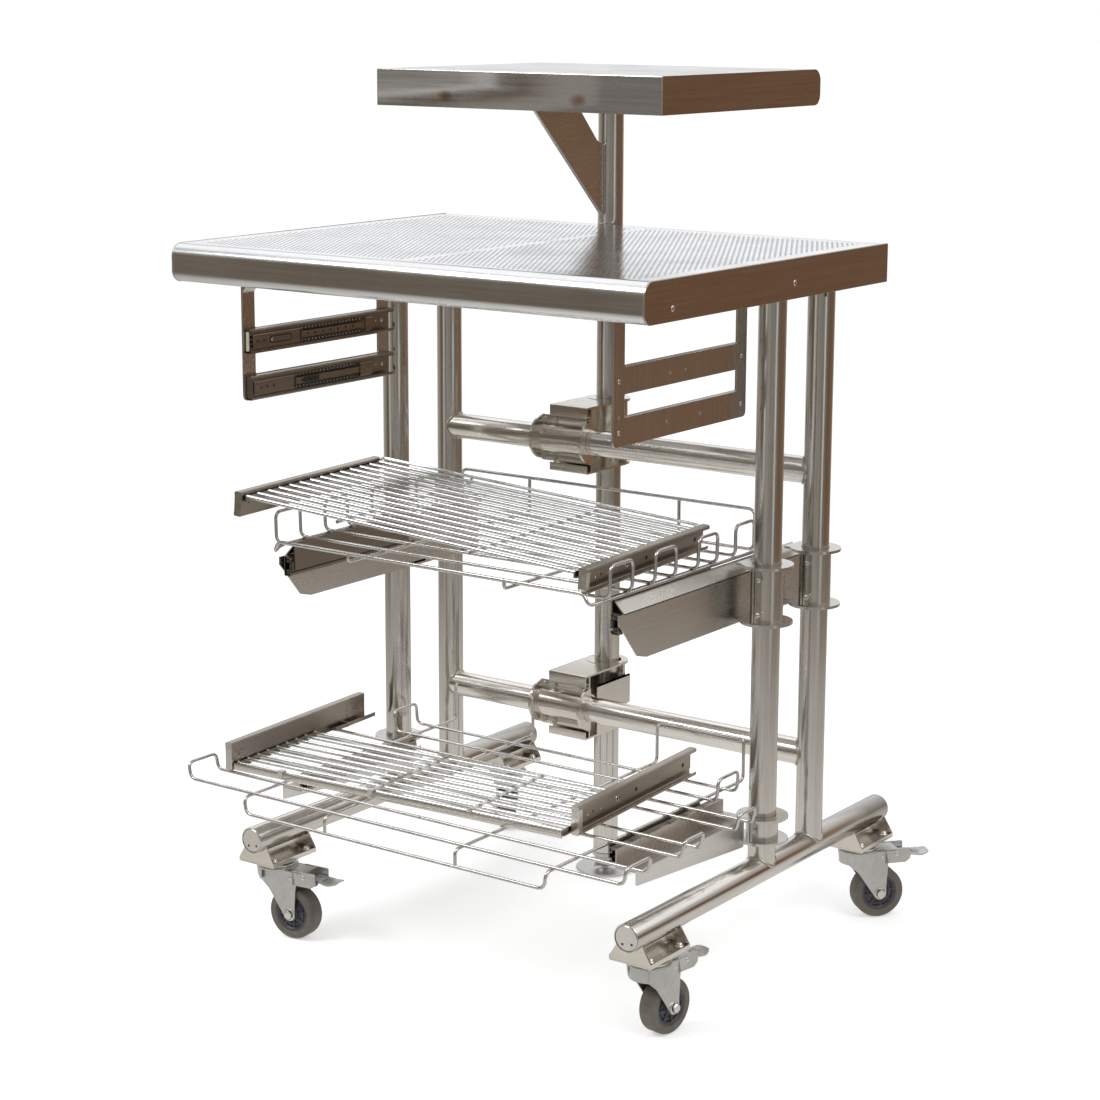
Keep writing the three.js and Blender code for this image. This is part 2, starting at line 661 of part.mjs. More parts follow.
function bottomArm(sign) {
  const [inner, outer] = LOW_ARM_X;
  const uprightZ = [LOW_ARM_TOP - 1, LOW_ARM_TOP + 25.5];
  const backTabZ = [LOW_RINGS[1] - 6, LOW_RINGS[1] + 1];
  return join(
    prism("x", aboveBase(LOW_SKIRT), span(sign, outer - ARM_T, outer)),
    box(span(sign, inner, outer), LOW_ARM_Y, [LOW_ARM_TOP - ARM_T, LOW_ARM_TOP]),
    box(span(sign, inner, inner + ARM_T), LOW_ARM_Y, uprightZ),
    box(span(sign, inner, outer + 1), [-36, -20.8], backTabZ),
    postHalf(sign, -sign, FRONT_POST_Y, LOW_RINGS),
  );
}
for (const [side, sign] of SIDES) {
  add("bottom_arm_" + side, bottomArm(sign), BRUSHED);
  addBasketSlides("bottom", side, sign, LOW_SLIDES);
  const boltHeights = [(LOW_RINGS[0] + LOW_RINGS[1]) / 2];
  const shell = postHalf(sign, sign, FRONT_POST_Y, LOW_RINGS, boltHeights);
  add("bottom_clamp_shell_" + side, shell, BRUSHED);
}

// ---------------------------------------------------------------- wire baskets
// Hoops: [front y, back y, half width at the base, half width at the top, top above BASE_Z, bend].
const MID_HOOPS = [
  [-329, -276, 293, 294, 502, 11],
  [-221, -170, 293, 294, 502, 11],
  [-113, -64, 293, 294, 502, 11],
  [-10, 40, 290, 290, 502, 11],
];
const LOW_HOOPS = [
  [-424, -366, 384, 388, 131, 7],
  [-290, -243, 386, 391, 131, 6],
  [-151, -109, 386, 391, 131, 6],
  [-58, -4, 296, 298, 140, 11],
];

// A pair of crossways wires joined at each end by an upright hoop, made in two halves that overlap
// in the middle.
function hoopPair([front, back, baseX, topX, rise, bend], baseZ) {
  const topZ = BASE_Z + rise;
  return [1, -1].map((sign) =>
    wire(
      [
        [-sign, front, baseZ],
        [sign * baseX, front, baseZ],
        [sign * topX, front, topZ],
        [sign * topX, back, topZ],
        [sign * baseX, back, baseZ],
        [-sign, back, baseZ],
      ],
      bend,
    ),
  );
}
function midBasket() {
  const z = MID_BASE_Z;
  const front = -353;
  const back = 78;
  const frontTop = BASE_Z + 466;
  const backTop = BASE_Z + 508;
  const sideX = 287;
  const railX = 268;
  // Both long sides and the raised front rail.
  const rim = [
    [-sideX, 62, z], [-sideX, -326, z], [-276, front, z - 4], [-railX, front, frontTop],
    [railX, front, frontTop], [276, front, z - 4], [sideX, -326, z], [sideX, 62, z],
  ];
  // Carried on the ends of the rim wire.
  const backRail = [
    [-sideX, 60, z], [-railX, back, z], [-railX, back, backTop],
    [railX, back, backTop], [railX, back, z], [sideX, 60, z],
  ];
  const runner = (x) => [
    [x, front, frontTop + 1], [x, front, z], [x, back, z], [x, back, backTop - 1],
  ];
  return join(
    MID_HOOPS.flatMap((hoop) => hoopPair(hoop, z + 4)),
    wire(rim, 12),
    wire(backRail, 12),
    around(0, 137).map((x) => wire(runner(x), 9)),
  );
}
function bottomBasket() {
  const z = LOW_BASE_Z;
  const front = -435.9;
  const drop = BASE_Z + 80;
  const back = 59;
  const backTop = BASE_Z + 167;
  const outerX = 268;
  const innerX = 116;
  // Both long sides and the dropped front rail.
  const rim = [
    [-outerX, back - 20, z], [-outerX, front, z], [-265, front, drop],
    [265, front, drop], [outerX, front, z], [outerX, back - 20, z],
  ];
  const runner = (x) => [[x, front, drop + 0.5], [x, front, z], [x, back - 20, z]];
  const backHoop = (near, far) => [
    [near, back - 22, z], [near, back, z], [near, back, backTop],
    [far, back, backTop], [far, back, z], [far, back - 22, z],
  ];
  return join(
    LOW_HOOPS.flatMap((hoop) => hoopPair(hoop, z + 4)),
    wire(rim, 11),
    [-1, 1].flatMap((sign) => [
      wire(runner(sign * innerX), 9),
      wire(backHoop(sign * innerX, sign * outerX), 10),
    ]),
  );
}
add("mid_basket", midBasket(), CHROME);
add("bottom_basket", bottomBasket(), CHROME);

// ---------------------------------------------------------------- wire racks with slide rails
// Local frame: x across, y back from the front edge, z up from the underside of the rails.
const RACK_WIRE_R = 2.9;

// Slide channel with its flat web inwards and its raceways outwards.
// Rows are [distance in from the outer edge, z].
const railSection = (height) => [
  [12.7, 0], [0, 0], [0, 5.5], [1.5, 5.5], [1.5, 1.5], [11.2, 1.5],
  [11.2, height - 1.5], [1.5, height - 1.5], [1.5, height - 5.5], [0, height - 5.5],
  [0, height], [12.7, height],
];
function rack(spec) {
  const { width, railLength, railHeight, rightSetback } = spec;
  const { gridZ, gridDepth, wireCount, runnerX, flatFront } = spec;
  const half = width / 2;
  const wireX = around(0, half - 14);
  const outline = railSection(railHeight).map(([depth, z]) => [half - depth, z]);
  const parts = [];
  for (const sign of [-1, 1]) {
    const start = sign > 0 ? rightSetback : 0;
    parts.push(prism("y", mirrored(sign, outline), [start, start + railLength]));
    // Edge bar that carries the wire ends against the rail.
    parts.push(box(span(sign, half - 17, half - 12), [6, gridDepth - 6], [gridZ - 7, gridZ + 1]));
  }
  for (let i = 0; i < wireCount; i++) {
    const y = 10 + ((gridDepth - 22) * i) / (wireCount - 1);
    parts.push(rod("x", [y, gridZ], RACK_WIRE_R, wireX, 4, 45));
  }
  for (const x of runnerX)
    parts.push(rod("y", [x, gridZ - 3.6], RACK_WIRE_R, [4, gridDepth - 8], 4, 45));
  if (flatFront) {
    parts.push(box(wireX, [2, 4.2], [gridZ - 9, gridZ + 2]));
    parts.push(box(around(0, 4), [3, gridDepth - 8], [gridZ - 5, gridZ - 2]));
  }
  return join(parts);
}
// Angles in degrees: "roll" about y, then "turn" about z.
function addRack(name, { position, roll, turn }, spec) {
  const group = new THREE.Group();
  const { degToRad } = THREE.MathUtils;
  group.position.set(...position);
  group.rotation.set(0, degToRad(roll), degToRad(turn), "ZYX");
  cart.add(group);
  add(name, rack(spec), CHROME, group);
}
addRack(
  "mid_rack",
  { position: [-22, -379, BASE_Z + 484.3], roll: 4.3, turn: 3.6 },
  {
    width: 584,
    railLength: 335,
    railHeight: 36,
    rightSetback: 12,
    gridZ: 29,
    gridDepth: 342,
    wireCount: 14,
    runnerX: [-112, 112],
    flatFront: false,
  },
);
addRack(
  "bottom_rack",
  { position: [-64.5, -354, BASE_Z + 112], roll: 0, turn: 3.45 },
  {
    width: 599,
    railLength: 327,
    railHeight: 42,
    rightSetback: 26,
    gridZ: 10,
    gridDepth: 206,
    wireCount: 9,
    runnerX: [],
    flatFront: true,
  },
);

// ---------------------------------------------------------------- castors
// Local frame of a castor: origin on the swivel axis at base-tube height, +X is the trailing
// direction. Saddles stay square to the cart, in a frame on the floor below the base tube.
const WHEEL_R = 40;
const WHEEL_HALF = 14;
const WHEEL_SIDES = 18;
const AXLE = [32, WHEEL_R - BASE_Z]; // x (the trail), z
const CHEEK = [16, 18.5]; // inner and outer faces of the fork legs, from the centre
const SADDLE_HALF = 48.4;
// [x, height above the base tubes]
const SADDLE_END = [[-34, -38], [34, -38], [34, -34], [18, -9], [-18, -9], [-34, -34]];
// [x, z]
const FORK_LEG = [
  [-27, -50], [40, -50], [44, -72], [41, -112],
  ...arc(AXLE, 9, 20, -160, 5), [-6, -84], [-27, -66],
];
// Corner, side sign, y, turn in degrees.
const CASTORS = [
  ["front_left", -1, -290, 6],
  ["front_right", 1, -290, 82],
  ["rear_left", -1, 289.5, 130],
  ["rear_right", 1, 289.5, 50],
];

function saddle(y) {
  const ribY = around(y, 47);
  const ribZ = [BASE_Z - 37, BASE_Z - 12];
  return cut(
    join(
      [-1, 1].map((end) =>
        prism("y", aboveBase(SADDLE_END), span(end, SADDLE_HALF - 2.5, SADDLE_HALF, y)),
      ),
      box(around(0, 34.3), around(y, SADDLE_HALF), [BASE_Z - 40.5, BASE_Z - 35.5]),
      box([-12.5, -10], ribY, ribZ),
      box([10, 12.5], ribY, ribZ),
      rod("z", [0, y], 27, [BASE_Z - 46, BASE_Z - 39], 16),
      [-25, 25].flatMap((nutX) =>
        around(y, 36).map((nutY) => rod("z", [nutX, nutY], 6, [BASE_Z - 36, BASE_Z - 27], 6)),
      ),
    ),
    tube("y", [0, BASE_Z], CLEAR_R, around(y, 80)),
  );
}
function fork() {
  const cheeks = [-1, 1].map((sign) => span(sign, ...CHEEK));
  return join(
    rod("z", [0, 0], 29, [-52, -46.4], 16),
    box([-22, 60], around(0, CHEEK[1]), [-52, -49.5]),
    cheeks.map((range) => prism("y", FORK_LEG, range)),
    prism("z", ringSector([0, 0], 26.5, 29, 130, 230, 5), [-66, -48]),
    cheeks.map((range) => box([38, 80], range, [-74, -50])),
    rod("y", AXLE, 4, around(0, 22), 8),
    rod("y", AXLE, 7, [18, 23.5], 6),
    rod("y", AXLE, 7, [-23.5, -18], 6),
  );
}
function wheel() {
  const half = WHEEL_HALF;
  const tread = WHEEL_R / Math.cos(Math.PI / WHEEL_SIDES); // the flats lie on the rolling radius
  // Closed section: [radius, distance along the axle].
  const profile = [
    [4.6, -15.4], [9, -15.4], [9, -10], [25, -10], [28, -half], [36, -half],
    [tread, -half + 6], [tread, half - 6], [36, half], [28, half], [25, 10], [9, 10],
    [9, 15.4], [4.6, 15.4], [4.6, -15.4],
  ].map((point) => new THREE.Vector2(...point));
  // LatheGeometry turns about its Y axis, which is the axle here.
  const geometry = new THREE.LatheGeometry(profile, WHEEL_SIDES);
  return solid(geometry.rotateY(Math.PI / WHEEL_SIDES).translate(AXLE[0], 0, AXLE[1]));
}
function pedal() {
  const padZ = [-64, -60.5];
  const pad = [[82, -13], [105, -13], [113, -8], [113, 8], [105, 13], [82, 13]];
  return join(
    box([62, 84], around(0, 14), padZ),
    prism("z", pad, padZ),
    [-1, 1].map((sign) => box([62, 72], span(sign, 11.5, 14), [-73, -62])),
  );
}
for (const [corner, sign, y, turn] of CASTORS) {
  const seat = new THREE.Group();
  seat.position.set(sign * HALF_WIDTH, 0, 0);
  cart.add(seat);
  add("castor_saddle_" + corner, saddle(y), BRUSHED, seat);
  const castor = new THREE.Group();
  castor.position.set(sign * HALF_WIDTH, y, BASE_Z);
  castor.rotation.z = THREE.MathUtils.degToRad(turn);
  cart.add(castor);
  add("castor_fork_" + corner, fork(), ZINC, castor);
  add("castor_wheel_" + corner, wheel(), RUBBER, castor);
  add("castor_pedal_" + corner, pedal(), ZINC, castor);
}

export default cart;
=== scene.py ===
"""Instrument cart for a veterinary clinic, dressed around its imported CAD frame.

X runs across the cart, its front faces -Y, and Z is up with the wheels standing on z = 0.
Lengths are millimetres and are scaled to metres when a piece is made.
"""
import math
import random

import bmesh
import bpy
from mathutils import Matrix, Vector
from mathutils.geometry import tessellate_polygon


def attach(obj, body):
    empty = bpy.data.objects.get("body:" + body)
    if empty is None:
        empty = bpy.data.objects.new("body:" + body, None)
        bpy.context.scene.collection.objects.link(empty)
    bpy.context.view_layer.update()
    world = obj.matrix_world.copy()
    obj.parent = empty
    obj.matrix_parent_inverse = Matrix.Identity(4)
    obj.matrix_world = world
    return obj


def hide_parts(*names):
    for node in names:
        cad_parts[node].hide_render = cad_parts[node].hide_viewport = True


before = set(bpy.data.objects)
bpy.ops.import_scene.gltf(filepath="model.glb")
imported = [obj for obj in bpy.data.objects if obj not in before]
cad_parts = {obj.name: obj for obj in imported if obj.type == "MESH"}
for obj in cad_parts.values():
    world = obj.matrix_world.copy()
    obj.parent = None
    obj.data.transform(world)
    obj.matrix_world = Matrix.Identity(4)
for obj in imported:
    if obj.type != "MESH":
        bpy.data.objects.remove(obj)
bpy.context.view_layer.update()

random.seed(7)
MM = 0.001
SIDES = (("left", -1), ("right", 1))

BASE = 162.0  # centre height of the base tubes
TUBE_R = 20.0
POST_X = 337.2
POST_YS = (0, 135)
CROSS_Y = 135.0
CROSS_LOW, CROSS_HIGH = BASE + 138.5, BASE + 563.5

SHEET = 1.5  # sheet thickness of worktop and overshelf
SKIRT = 54.7  # depth of their aprons
NOSE_R, TUCK_R = 18, 16  # upper and lower radii of their rolled edges
TOP = BASE + 891
TOP_HALF = 402.3
TOP_FRONT, TOP_BACK = -417.0, 208.0
SHELF = BASE + 1126
SHELF_LEFT, SHELF_RIGHT = -365.0, 153.0
SHELF_FRONT, SHELF_BACK = -4.0, 438.0
POST_TOP = TOP - SHEET - 0.3
COL_X, COL_Y = -98.0, 235.0
COL_TOP = SHELF - SHEET - 0.3


# ------------------------------------------------------------------ outlines and paths
def arc(centre_u, centre_v, radius, start, end, steps):
    """Points round a centre between two angles in degrees."""
    angles = [math.radians(start + (end - start) * i / steps) for i in range(steps + 1)]
    return [(centre_u + radius * math.cos(angle), centre_v + radius * math.sin(angle))
            for angle in angles]


def half_ring(centre_u, centre_v, inner, outer, middle, steps=28):
    """Half a ring, bulging towards the angle middle."""
    return (arc(centre_u, centre_v, outer, middle - 90, middle + 90, steps)
            + arc(centre_u, centre_v, inner, middle + 90, middle - 90, steps))


def bulge(radius, height, base, degrees):
    """Profile points (radius, height) on an ellipse, at the given angles."""
    return [(radius * math.cos(math.radians(angle)), base + height * math.sin(math.radians(angle)))
            for angle in degrees]


def round_corner(corner, back, ahead, cut, steps):
    """A quadratic curve that replaces a corner out to distance cut along both legs."""
    start, end = corner + back.normalized() * cut, corner + ahead.normalized() * cut
    return [(1 - t) ** 2 * start + 2 * t * (1 - t) * corner + t * t * end
            for t in (j / steps for j in range(steps + 1))]


def fillet(points, radius, steps=4):
    """Rounds a closed outline; radius is a number or a list with one number a corner."""
    radii = radius if isinstance(radius, list) else [radius] * len(points)
    outline = []
    for i, point in enumerate(points):
        corner = Vector(point)
        back = Vector(points[i - 1]) - corner
        ahead = Vector(points[(i + 1) % len(points)]) - corner
        if (radii[i] <= 0 or back.length < 1e-6 or ahead.length < 1e-6
                or back.angle(ahead) > math.radians(176)):
            outline.append(tuple(corner))
            continue
        cut = radii[i] / math.tan(back.angle(ahead) / 2)
        cut = min(cut, back.length * 0.48, ahead.length * 0.48)
        outline += [tuple(curve) for curve in round_corner(corner, back, ahead, cut, steps)]
    return outline


def rect(u0, u1, v0, v1, radius=0, steps=4):
    corners = [(u0, v0), (u1, v0), (u1, v1), (u0, v1)]
    return fillet(corners, radius, steps) if radius else corners


def bent(points, radius, steps=6):
    """An open path of straight runs with round bends."""
    corners = [Vector(point) for point in points]
    path = [corners[0]]
    for before, corner, after in zip(corners, corners[1:], corners[2:]):
        back, ahead = before - corner, after - corner
        cut = min(radius, back.length * 0.49, ahead.length * 0.49)
        path += round_corner(corner, back, ahead, cut, steps)
    return path + [corners[-1]]


def span(sign, *distances):
    """X limits on one side of the cart, in rising order."""
    return sorted(sign * distance for distance in distances)


def inward(sign, face, z, section):
    """Places a section of (depth inwards from a side face, height)."""
    return [(sign * (face - depth), z + height) for depth, height in section]


def across(direction):
    """A unit vector square to a unit direction."""
    reference = Vector((0, 0, 1)) if abs(direction.z) < 0.9 else Vector((1, 0, 0))
    return (reference - direction * reference.dot(direction)).normalized()


# ------------------------------------------------------------------ mesh builder
class Shape:
    """Collects solids; mat is the material slot and tf the placement of what is added next."""

    def __init__(self, tf=None):
        self.verts, self.faces, self.slots = [], [], []
        self.mat = 0
        self.tf = tf or Matrix.Identity(4)

    def add(self, verts, faces):
        base = len(self.verts)
        self.verts += [self.tf @ Vector(vert) for vert in verts]
        for face in faces:
            self.faces.append([base + i for i in face])
            self.slots.append(self.mat)

    def prism(self, axis, outline, start, end, holes=()):
        """Extrudes an outline along an axis; its points are in the other two axes, in order."""
        loops = [list(outline), *map(list, holes)]
        flat = [point for loop in loops for point in loop]
        count = len(flat)
        at = "xyz".index(axis)
        verts = [(*point[:at], level, *point[at:]) for level in (start, end) for point in flat]
        if len(loops) == 1 and len(outline) <= 4:
            caps = [list(range(count))]
        else:
            caps = [list(cap) for cap in tessellate_polygon(
                [[Vector((u, v, 0)) for u, v in loop] for loop in loops])]
        faces = caps + [[i + count for i in reversed(cap)] for cap in caps]
        first = 0
        for loop in loops:
            for i in range(len(loop)):
                here, there = first + i, first + (i + 1) % len(loop)
                faces.append([here, there, there + count, here + count])
            first += len(loop)
        self.add(verts, faces)

    def box(self, x0, x1, y0, y1, z0, z1):
        self.prism("z", rect(x0, x1, y0, y1), z0, z1)

    def wire(self, path, radius=2.5, sides=12, closed=False):
        """Carries a circle along a path without twist."""
        points = [Vector(point) for point in path]
        count = len(points)
        steps = [(after - here).normalized()
                 for here, after in zip(points, points[1:] + points[:1])]
        tangents = [(step + steps[i - 1]).normalized() for i, step in enumerate(steps)]
        if not closed:
            tangents[0], tangents[-1] = steps[0], steps[-2]
        angles = [2 * math.pi * i / sides for i in range(sides)]
        normal = across(tangents[0])
        verts = []
        for i, (point, tangent) in enumerate(zip(points, tangents)):
            if i:
                normal = (normal - tangent * normal.dot(tangent)).normalized()
            other = tangent.cross(normal)
            verts += [point + normal * (radius * math.cos(angle))
                      + other * (radius * math.sin(angle)) for angle in angles]
        faces = []
        for i in range(count if closed else count - 1):
            row, following = i * sides, (i + 1) % count * sides
            for j in range(sides):
                k = (j + 1) % sides
                faces.append([row + j, row + k, following + k, following + j])
        if not closed:
            faces.append(list(range(sides)))
            faces.append([(count - 1) * sides + j for j in reversed(range(sides))])
        self.add(verts, faces)

    def lathe(self, profile, origin, axis, sides=48):
        """Turns a profile of (radius, height) about an axis through origin."""
        axis = Vector(axis).normalized()
        first = across(axis)
        second = axis.cross(first)
        origin = Vector(origin)
        verts, rows = [], []
        for radius, height in profile:
            if radius < 1e-6:
                rows.append([len(verts)] * sides)
                verts.append(origin + axis * height)
                continue
            rows.append(list(range(len(verts), len(verts) + sides)))
            for i in range(sides):
                angle = 2 * math.pi * i / sides
                spoke = first * math.cos(angle) + second * math.sin(angle)
                verts.append(origin + axis * height + spoke * radius)
        faces = []
        for low, high in zip(rows, rows[1:]):
            for i in range(sides):
                j = (i + 1) % sides
                # points on the axis coincide and leave a triangle
                face = list(dict.fromkeys((low[i], low[j], high[j], high[i])))
                if len(face) > 2:
                    faces.append(face)
        self.add(verts, faces)

    def disc(self, at, axis, radius, low, high, sides):
        self.lathe([(0, low), (radius, low), (radius, high), (0, high)], at, axis, sides)

    def rod(self, start, end, radius, sides, bevel=0.6):
        axis = Vector(end) - Vector(start)
        length = axis.length
        rim = radius - bevel
        self.lathe([(0, 0), (rim, 0), (radius, bevel), (radius, length - bevel), (rim, length),
                    (0, length)], start, axis, sides)

    def dome(self, at, axis, radius, height, sides=16):
        self.lathe([(0, -0.6), (radius, -0.6), (radius, height * 0.15)]
                   + bulge(radius, height * 0.85, height * 0.15, (20, 40, 60, 76))
                   + [(0, height)], at, axis, sides)

    def hexhead(self, at, axis, radius, height):
        """A hexagon bolt head on its washer."""
        wide, rim = radius * 1.3, radius * 1.25
        self.lathe([(0, -0.3), (rim, -0.3), (wide, 0), (wide, 0.7), (rim, 0.9), (0, 0.9)],
                   at, axis, 20)
        seat = Vector(at) + Vector(axis).normalized() * 0.7
        self.lathe([(0, 0), (radius, 0), (radius, height * 0.8), (radius * 0.84, height),
                    (0, height)], seat, axis, 6)

    def socket(self, at, axis, radius, height):
        """A round-headed screw with a round recess."""
        self.lathe([(0, -0.3), (radius, -0.3), (radius, height * 0.7), (radius * 0.86, height),
                    (radius * 0.52, height)], at, axis, 20)
        self.lathe([(radius * 0.52, height), (radius * 0.5, height - 1.6), (0, height - 1.6)],
                   at, axis, 20)

    def weld(self, centre, branch, run, blunt=0.95):
        """The bead where a tube along branch meets an equal tube along run."""
        centre, branch, run = Vector(centre), Vector(branch).normalized(), Vector(run).normalized()
        side = branch.cross(run)
        reach = TUBE_R + 0.2
        path = []
        for i in range(40):
            angle = 2 * math.pi * i / 40
            # along the run the branch meets its crown, across it it wraps down the run's sides
            lift = math.sqrt(TUBE_R * TUBE_R - (blunt * TUBE_R * math.cos(angle)) ** 2)
            point = (centre + side * reach * math.cos(angle) + run * reach * math.sin(angle)
                     + branch * (lift + 0.4))
            path.append(point + branch * 0.35 * math.sin(i * 2.4))
        self.wire(path, 1.7, 8, closed=True)

    def nugget(self, x, y, z, axis=(0, 0, 1)):
        """A resistance weld where two wires cross."""
        self.lathe([(0, -3.2), (1.7, -2.4), (2.3, -0.8), (2.3, 0.8), (1.7, 2.4), (0, 3.2)],
                   (x, y, z), axis, 10)


def make(shape, name, body, mats, replaces=None, sharp=34, bevel=0.0):
    """Makes an object; edges steeper than sharp degrees are marked, or bevelled if asked."""
    mesh = bpy.data.meshes.new(name)
    mesh.from_pydata([tuple(vert * MM) for vert in shape.verts], [], shape.faces)
    for mat in mats:
        mesh.materials.append(mat)
    mesh.polygons.foreach_set("material_index", shape.slots)
    work = bmesh.new()
    work.from_mesh(mesh)
    bmesh.ops.remove_doubles(work, verts=work.verts, dist=1e-6)
    bmesh.ops.dissolve_degenerate(work, edges=work.edges, dist=1e-6)
    bmesh.ops.recalc_face_normals(work, faces=work.faces)
    if bevel:
        bmesh.ops.dissolve_limit(work, angle_limit=math.radians(0.4), verts=work.verts,
                                 edges=work.edges, delimit={"MATERIAL"})
    work.to_mesh(mesh)
    work.free()
    mesh.polygons.foreach_set("use_smooth", [True] * len(mesh.polygons))
    obj = bpy.data.objects.new(name, mesh)
    bpy.context.scene.collection.objects.link(obj)
    if bevel:
        edge = obj.modifiers.new("edge", "BEVEL")
        edge.width = bevel * MM
        edge.segments = 2
        edge.limit_method = "ANGLE"
        edge.angle_limit = math.radians(sharp)
        edge.use_clamp_overlap = True
        normals = obj.modifiers.new("normals", "WEIGHTED_NORMAL")
        normals.weight = 80
        normals.keep_sharp = False
    else:
        mesh.set_sharp_from_angle(angle=math.radians(sharp))
    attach(obj, body)
    if replaces:
        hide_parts(replaces)


# ------------------------------------------------------------------ shader graphs
class Graph:
    """The emptied node tree of a material or world."""

    def __init__(self, owner):
        owner.use_nodes = True
        self.tree = owner.node_tree
        self.tree.nodes.clear()

    def node(self, kind, inputs={}, **settings):
        """Adds a node and gives its outputs; an input is a value or a socket to link."""
        made = self.tree.nodes.new("ShaderNode" + kind)
        for key, value in settings.items():
            setattr(made, key, value)
        for key, value in inputs.items():
            if isinstance(value, bpy.types.NodeSocket):
                self.tree.links.new(value, made.inputs[key])
            else:
                made.inputs[key].default_value = value
        return made.outputs

    def calc(self, operation, *values, clamp=False):
        return self.node("Math", dict(enumerate(values)), operation=operation, use_clamp=clamp)[0]

    def around(self, value, centre, gain, clamp=False):
        """(value - centre) * gain."""
        return self.calc("MULTIPLY", self.calc("SUBTRACT", value, centre), gain, clamp=clamp)

    def ramp(self, factor, *stops):
        """Each stop is (position, grey or colour)."""
        ramp = self.node("ValToRGB", {0: factor})
        elements = ramp[0].node.color_ramp.elements
        while len(elements) > 1:
            elements.remove(elements[-1])
        for i, (position, colour) in enumerate(stops):
            stop = elements.new(position) if i else elements[0]
            stop.position = position
            stop.color = (*colour, 1) if isinstance(colour, tuple) else (colour,) * 3 + (1,)
        return ramp[0]

    def mix(self, factor, first, second):
        colours = [(*colour, 1) if isinstance(colour, tuple) else colour
                   for colour in (first, second)]
        return self.node("Mix", {0: factor, 6: colours[0], 7: colours[1]},
                         data_type="RGBA", blend_type="MIX")[2]

    def noise(self, scale, detail, rough, stretch=(1, 1, 1), turn=(0, 0, 0), distort=0.0):
        mapping = self.node("Mapping", {"Scale": stretch, "Rotation": turn, "Vector": self.coord})
        return self.node("TexNoise", {
            "Scale": scale, "Detail": detail, "Roughness": rough, "Distortion": distort,
            "Vector": mapping[0]})["Fac"]

    def surface(self, colour, rough, height, bump, depth, metallic=0.0):
        """Ends a material in a bumped principled surface."""
        normal = self.node("Bump", {"Strength": bump, "Distance": depth, "Height": height})[0]
        bsdf = self.node("BsdfPrincipled", {
            "Base Color": colour, "Roughness": rough, "Metallic": metallic, "Normal": normal})
        self.node("OutputMaterial", {0: bsdf[0]})


def material(name):
    mat = bpy.data.materials.new(name)
    graph = Graph(mat)
    graph.coord = graph.node("TexCoord")["Object"]
    return mat, graph


def shade(colour, factor):
    return tuple(channel * factor for channel in colour)


def heat_mark(graph, colour, spots, centre):
    """A soft brown mark round one point of the sheet."""
    size = (17, 12, 11)
    offset = graph.node("VectorMath", {0: graph.coord, 1: shade(centre, MM)},
                        operation="SUBTRACT")[0]
    fitted = graph.node("VectorMath", {0: offset, 1: shade(size, MM)}, operation="DIVIDE")[0]
    length = graph.node("VectorMath", {0: fitted}, operation="LENGTH")["Value"]
    rim = graph.calc("ADD", length, graph.around(spots, centre=0.5, gain=0.9))
    fade = graph.ramp(rim, (0.25, 1.0), (0.62, 0.55), (1.0, 0.0))
    return graph.mix(graph.calc("MULTIPLY", fade, 0.85), colour, (0.30, 0.19, 0.12))


def steel(name, base, rough, along=None, *, grain, scratch, bump, smudge=0.5,
          worn=(0.8, 0.8, 0.8), metallic=1.0, sizes=(260, 1500), heat_marks=()):
    """Steel brushed along one axis, with cloudy handling marks and fine scratches."""
    mat, graph = material(name)
    calc, ramp, mix, noise = graph.calc, graph.ramp, graph.mix, graph.noise
    stretch = tuple(0.02 if axis == along else 1 for axis in "xyz")
    coarse = noise(scale=sizes[0], detail=3, rough=0.6, stretch=stretch)
    fine = noise(scale=sizes[1], detail=2, rough=0.6, stretch=stretch)
    cloud = noise(scale=11, detail=5, rough=0.62, turn=(0.3, 0.2, 0.5), distort=0.4)
    spots = noise(scale=70, detail=4, rough=0.7, turn=(1.1, 0.4, 0.9), distort=0.2)
    scratches1 = noise(scale=420, detail=2, rough=0.5, stretch=(1, 0.05, 0.4),
                       turn=(0.5, 0.7, 0.4), distort=0.2)
    scratches2 = noise(scale=380, detail=2, rough=0.5, stretch=(0.06, 1, 0.5),
                       turn=(0.2, 0.9, 1.2), distort=0.3)
    marks = calc("MAXIMUM", ramp(scratches1, (0.0, 0.0), (0.70, 0.0), (0.78, 1.0)),
                 ramp(scratches2, (0.0, 0.0), (0.71, 0.0), (0.79, 1.0)))
    marks = calc("MULTIPLY", marks, scratch * 0.35)
    brushed = calc("ADD", calc("MULTIPLY", coarse, 0.6), calc("MULTIPLY", fine, 0.4))

    # colour: brushing, then clouds, brown spots and scratches over it
    colour = mix(ramp(brushed, (0.32, 0.0), (0.66, 1.0)), shade(base, 1 - grain), base)
    clouded = ramp(cloud, (0.42, 0.0), (0.72, 1.0))
    colour = mix(calc("MULTIPLY", clouded, smudge * 0.5), colour, shade(base, 0.72))
    spotted = ramp(spots, (0.62, 0.0), (0.76, 1.0))
    colour = mix(calc("MULTIPLY", spotted, smudge * 0.55), colour,
                 (base[0] * 0.62, base[1] * 0.55, base[2] * 0.47))
    colour = mix(marks, colour, worn)
    for centre in heat_marks:
        colour = heat_mark(graph, colour, spots, centre)

    # roughness varies with the same three patterns
    rough = calc("ADD", rough, graph.around(cloud, centre=0.45, gain=0.45 * smudge))
    rough = calc("ADD", rough, graph.around(coarse, centre=0.5, gain=0.16))
    rough = calc("ADD", rough, calc("MULTIPLY", marks, 0.25))
    rough = calc("MAXIMUM", rough, 0.06)
    height = calc("ADD", calc("MULTIPLY", brushed, 1.0), calc("MULTIPLY", marks, -0.6))
    graph.surface(colour, rough, height, bump, depth=0.0003, metallic=metallic)
    return mat


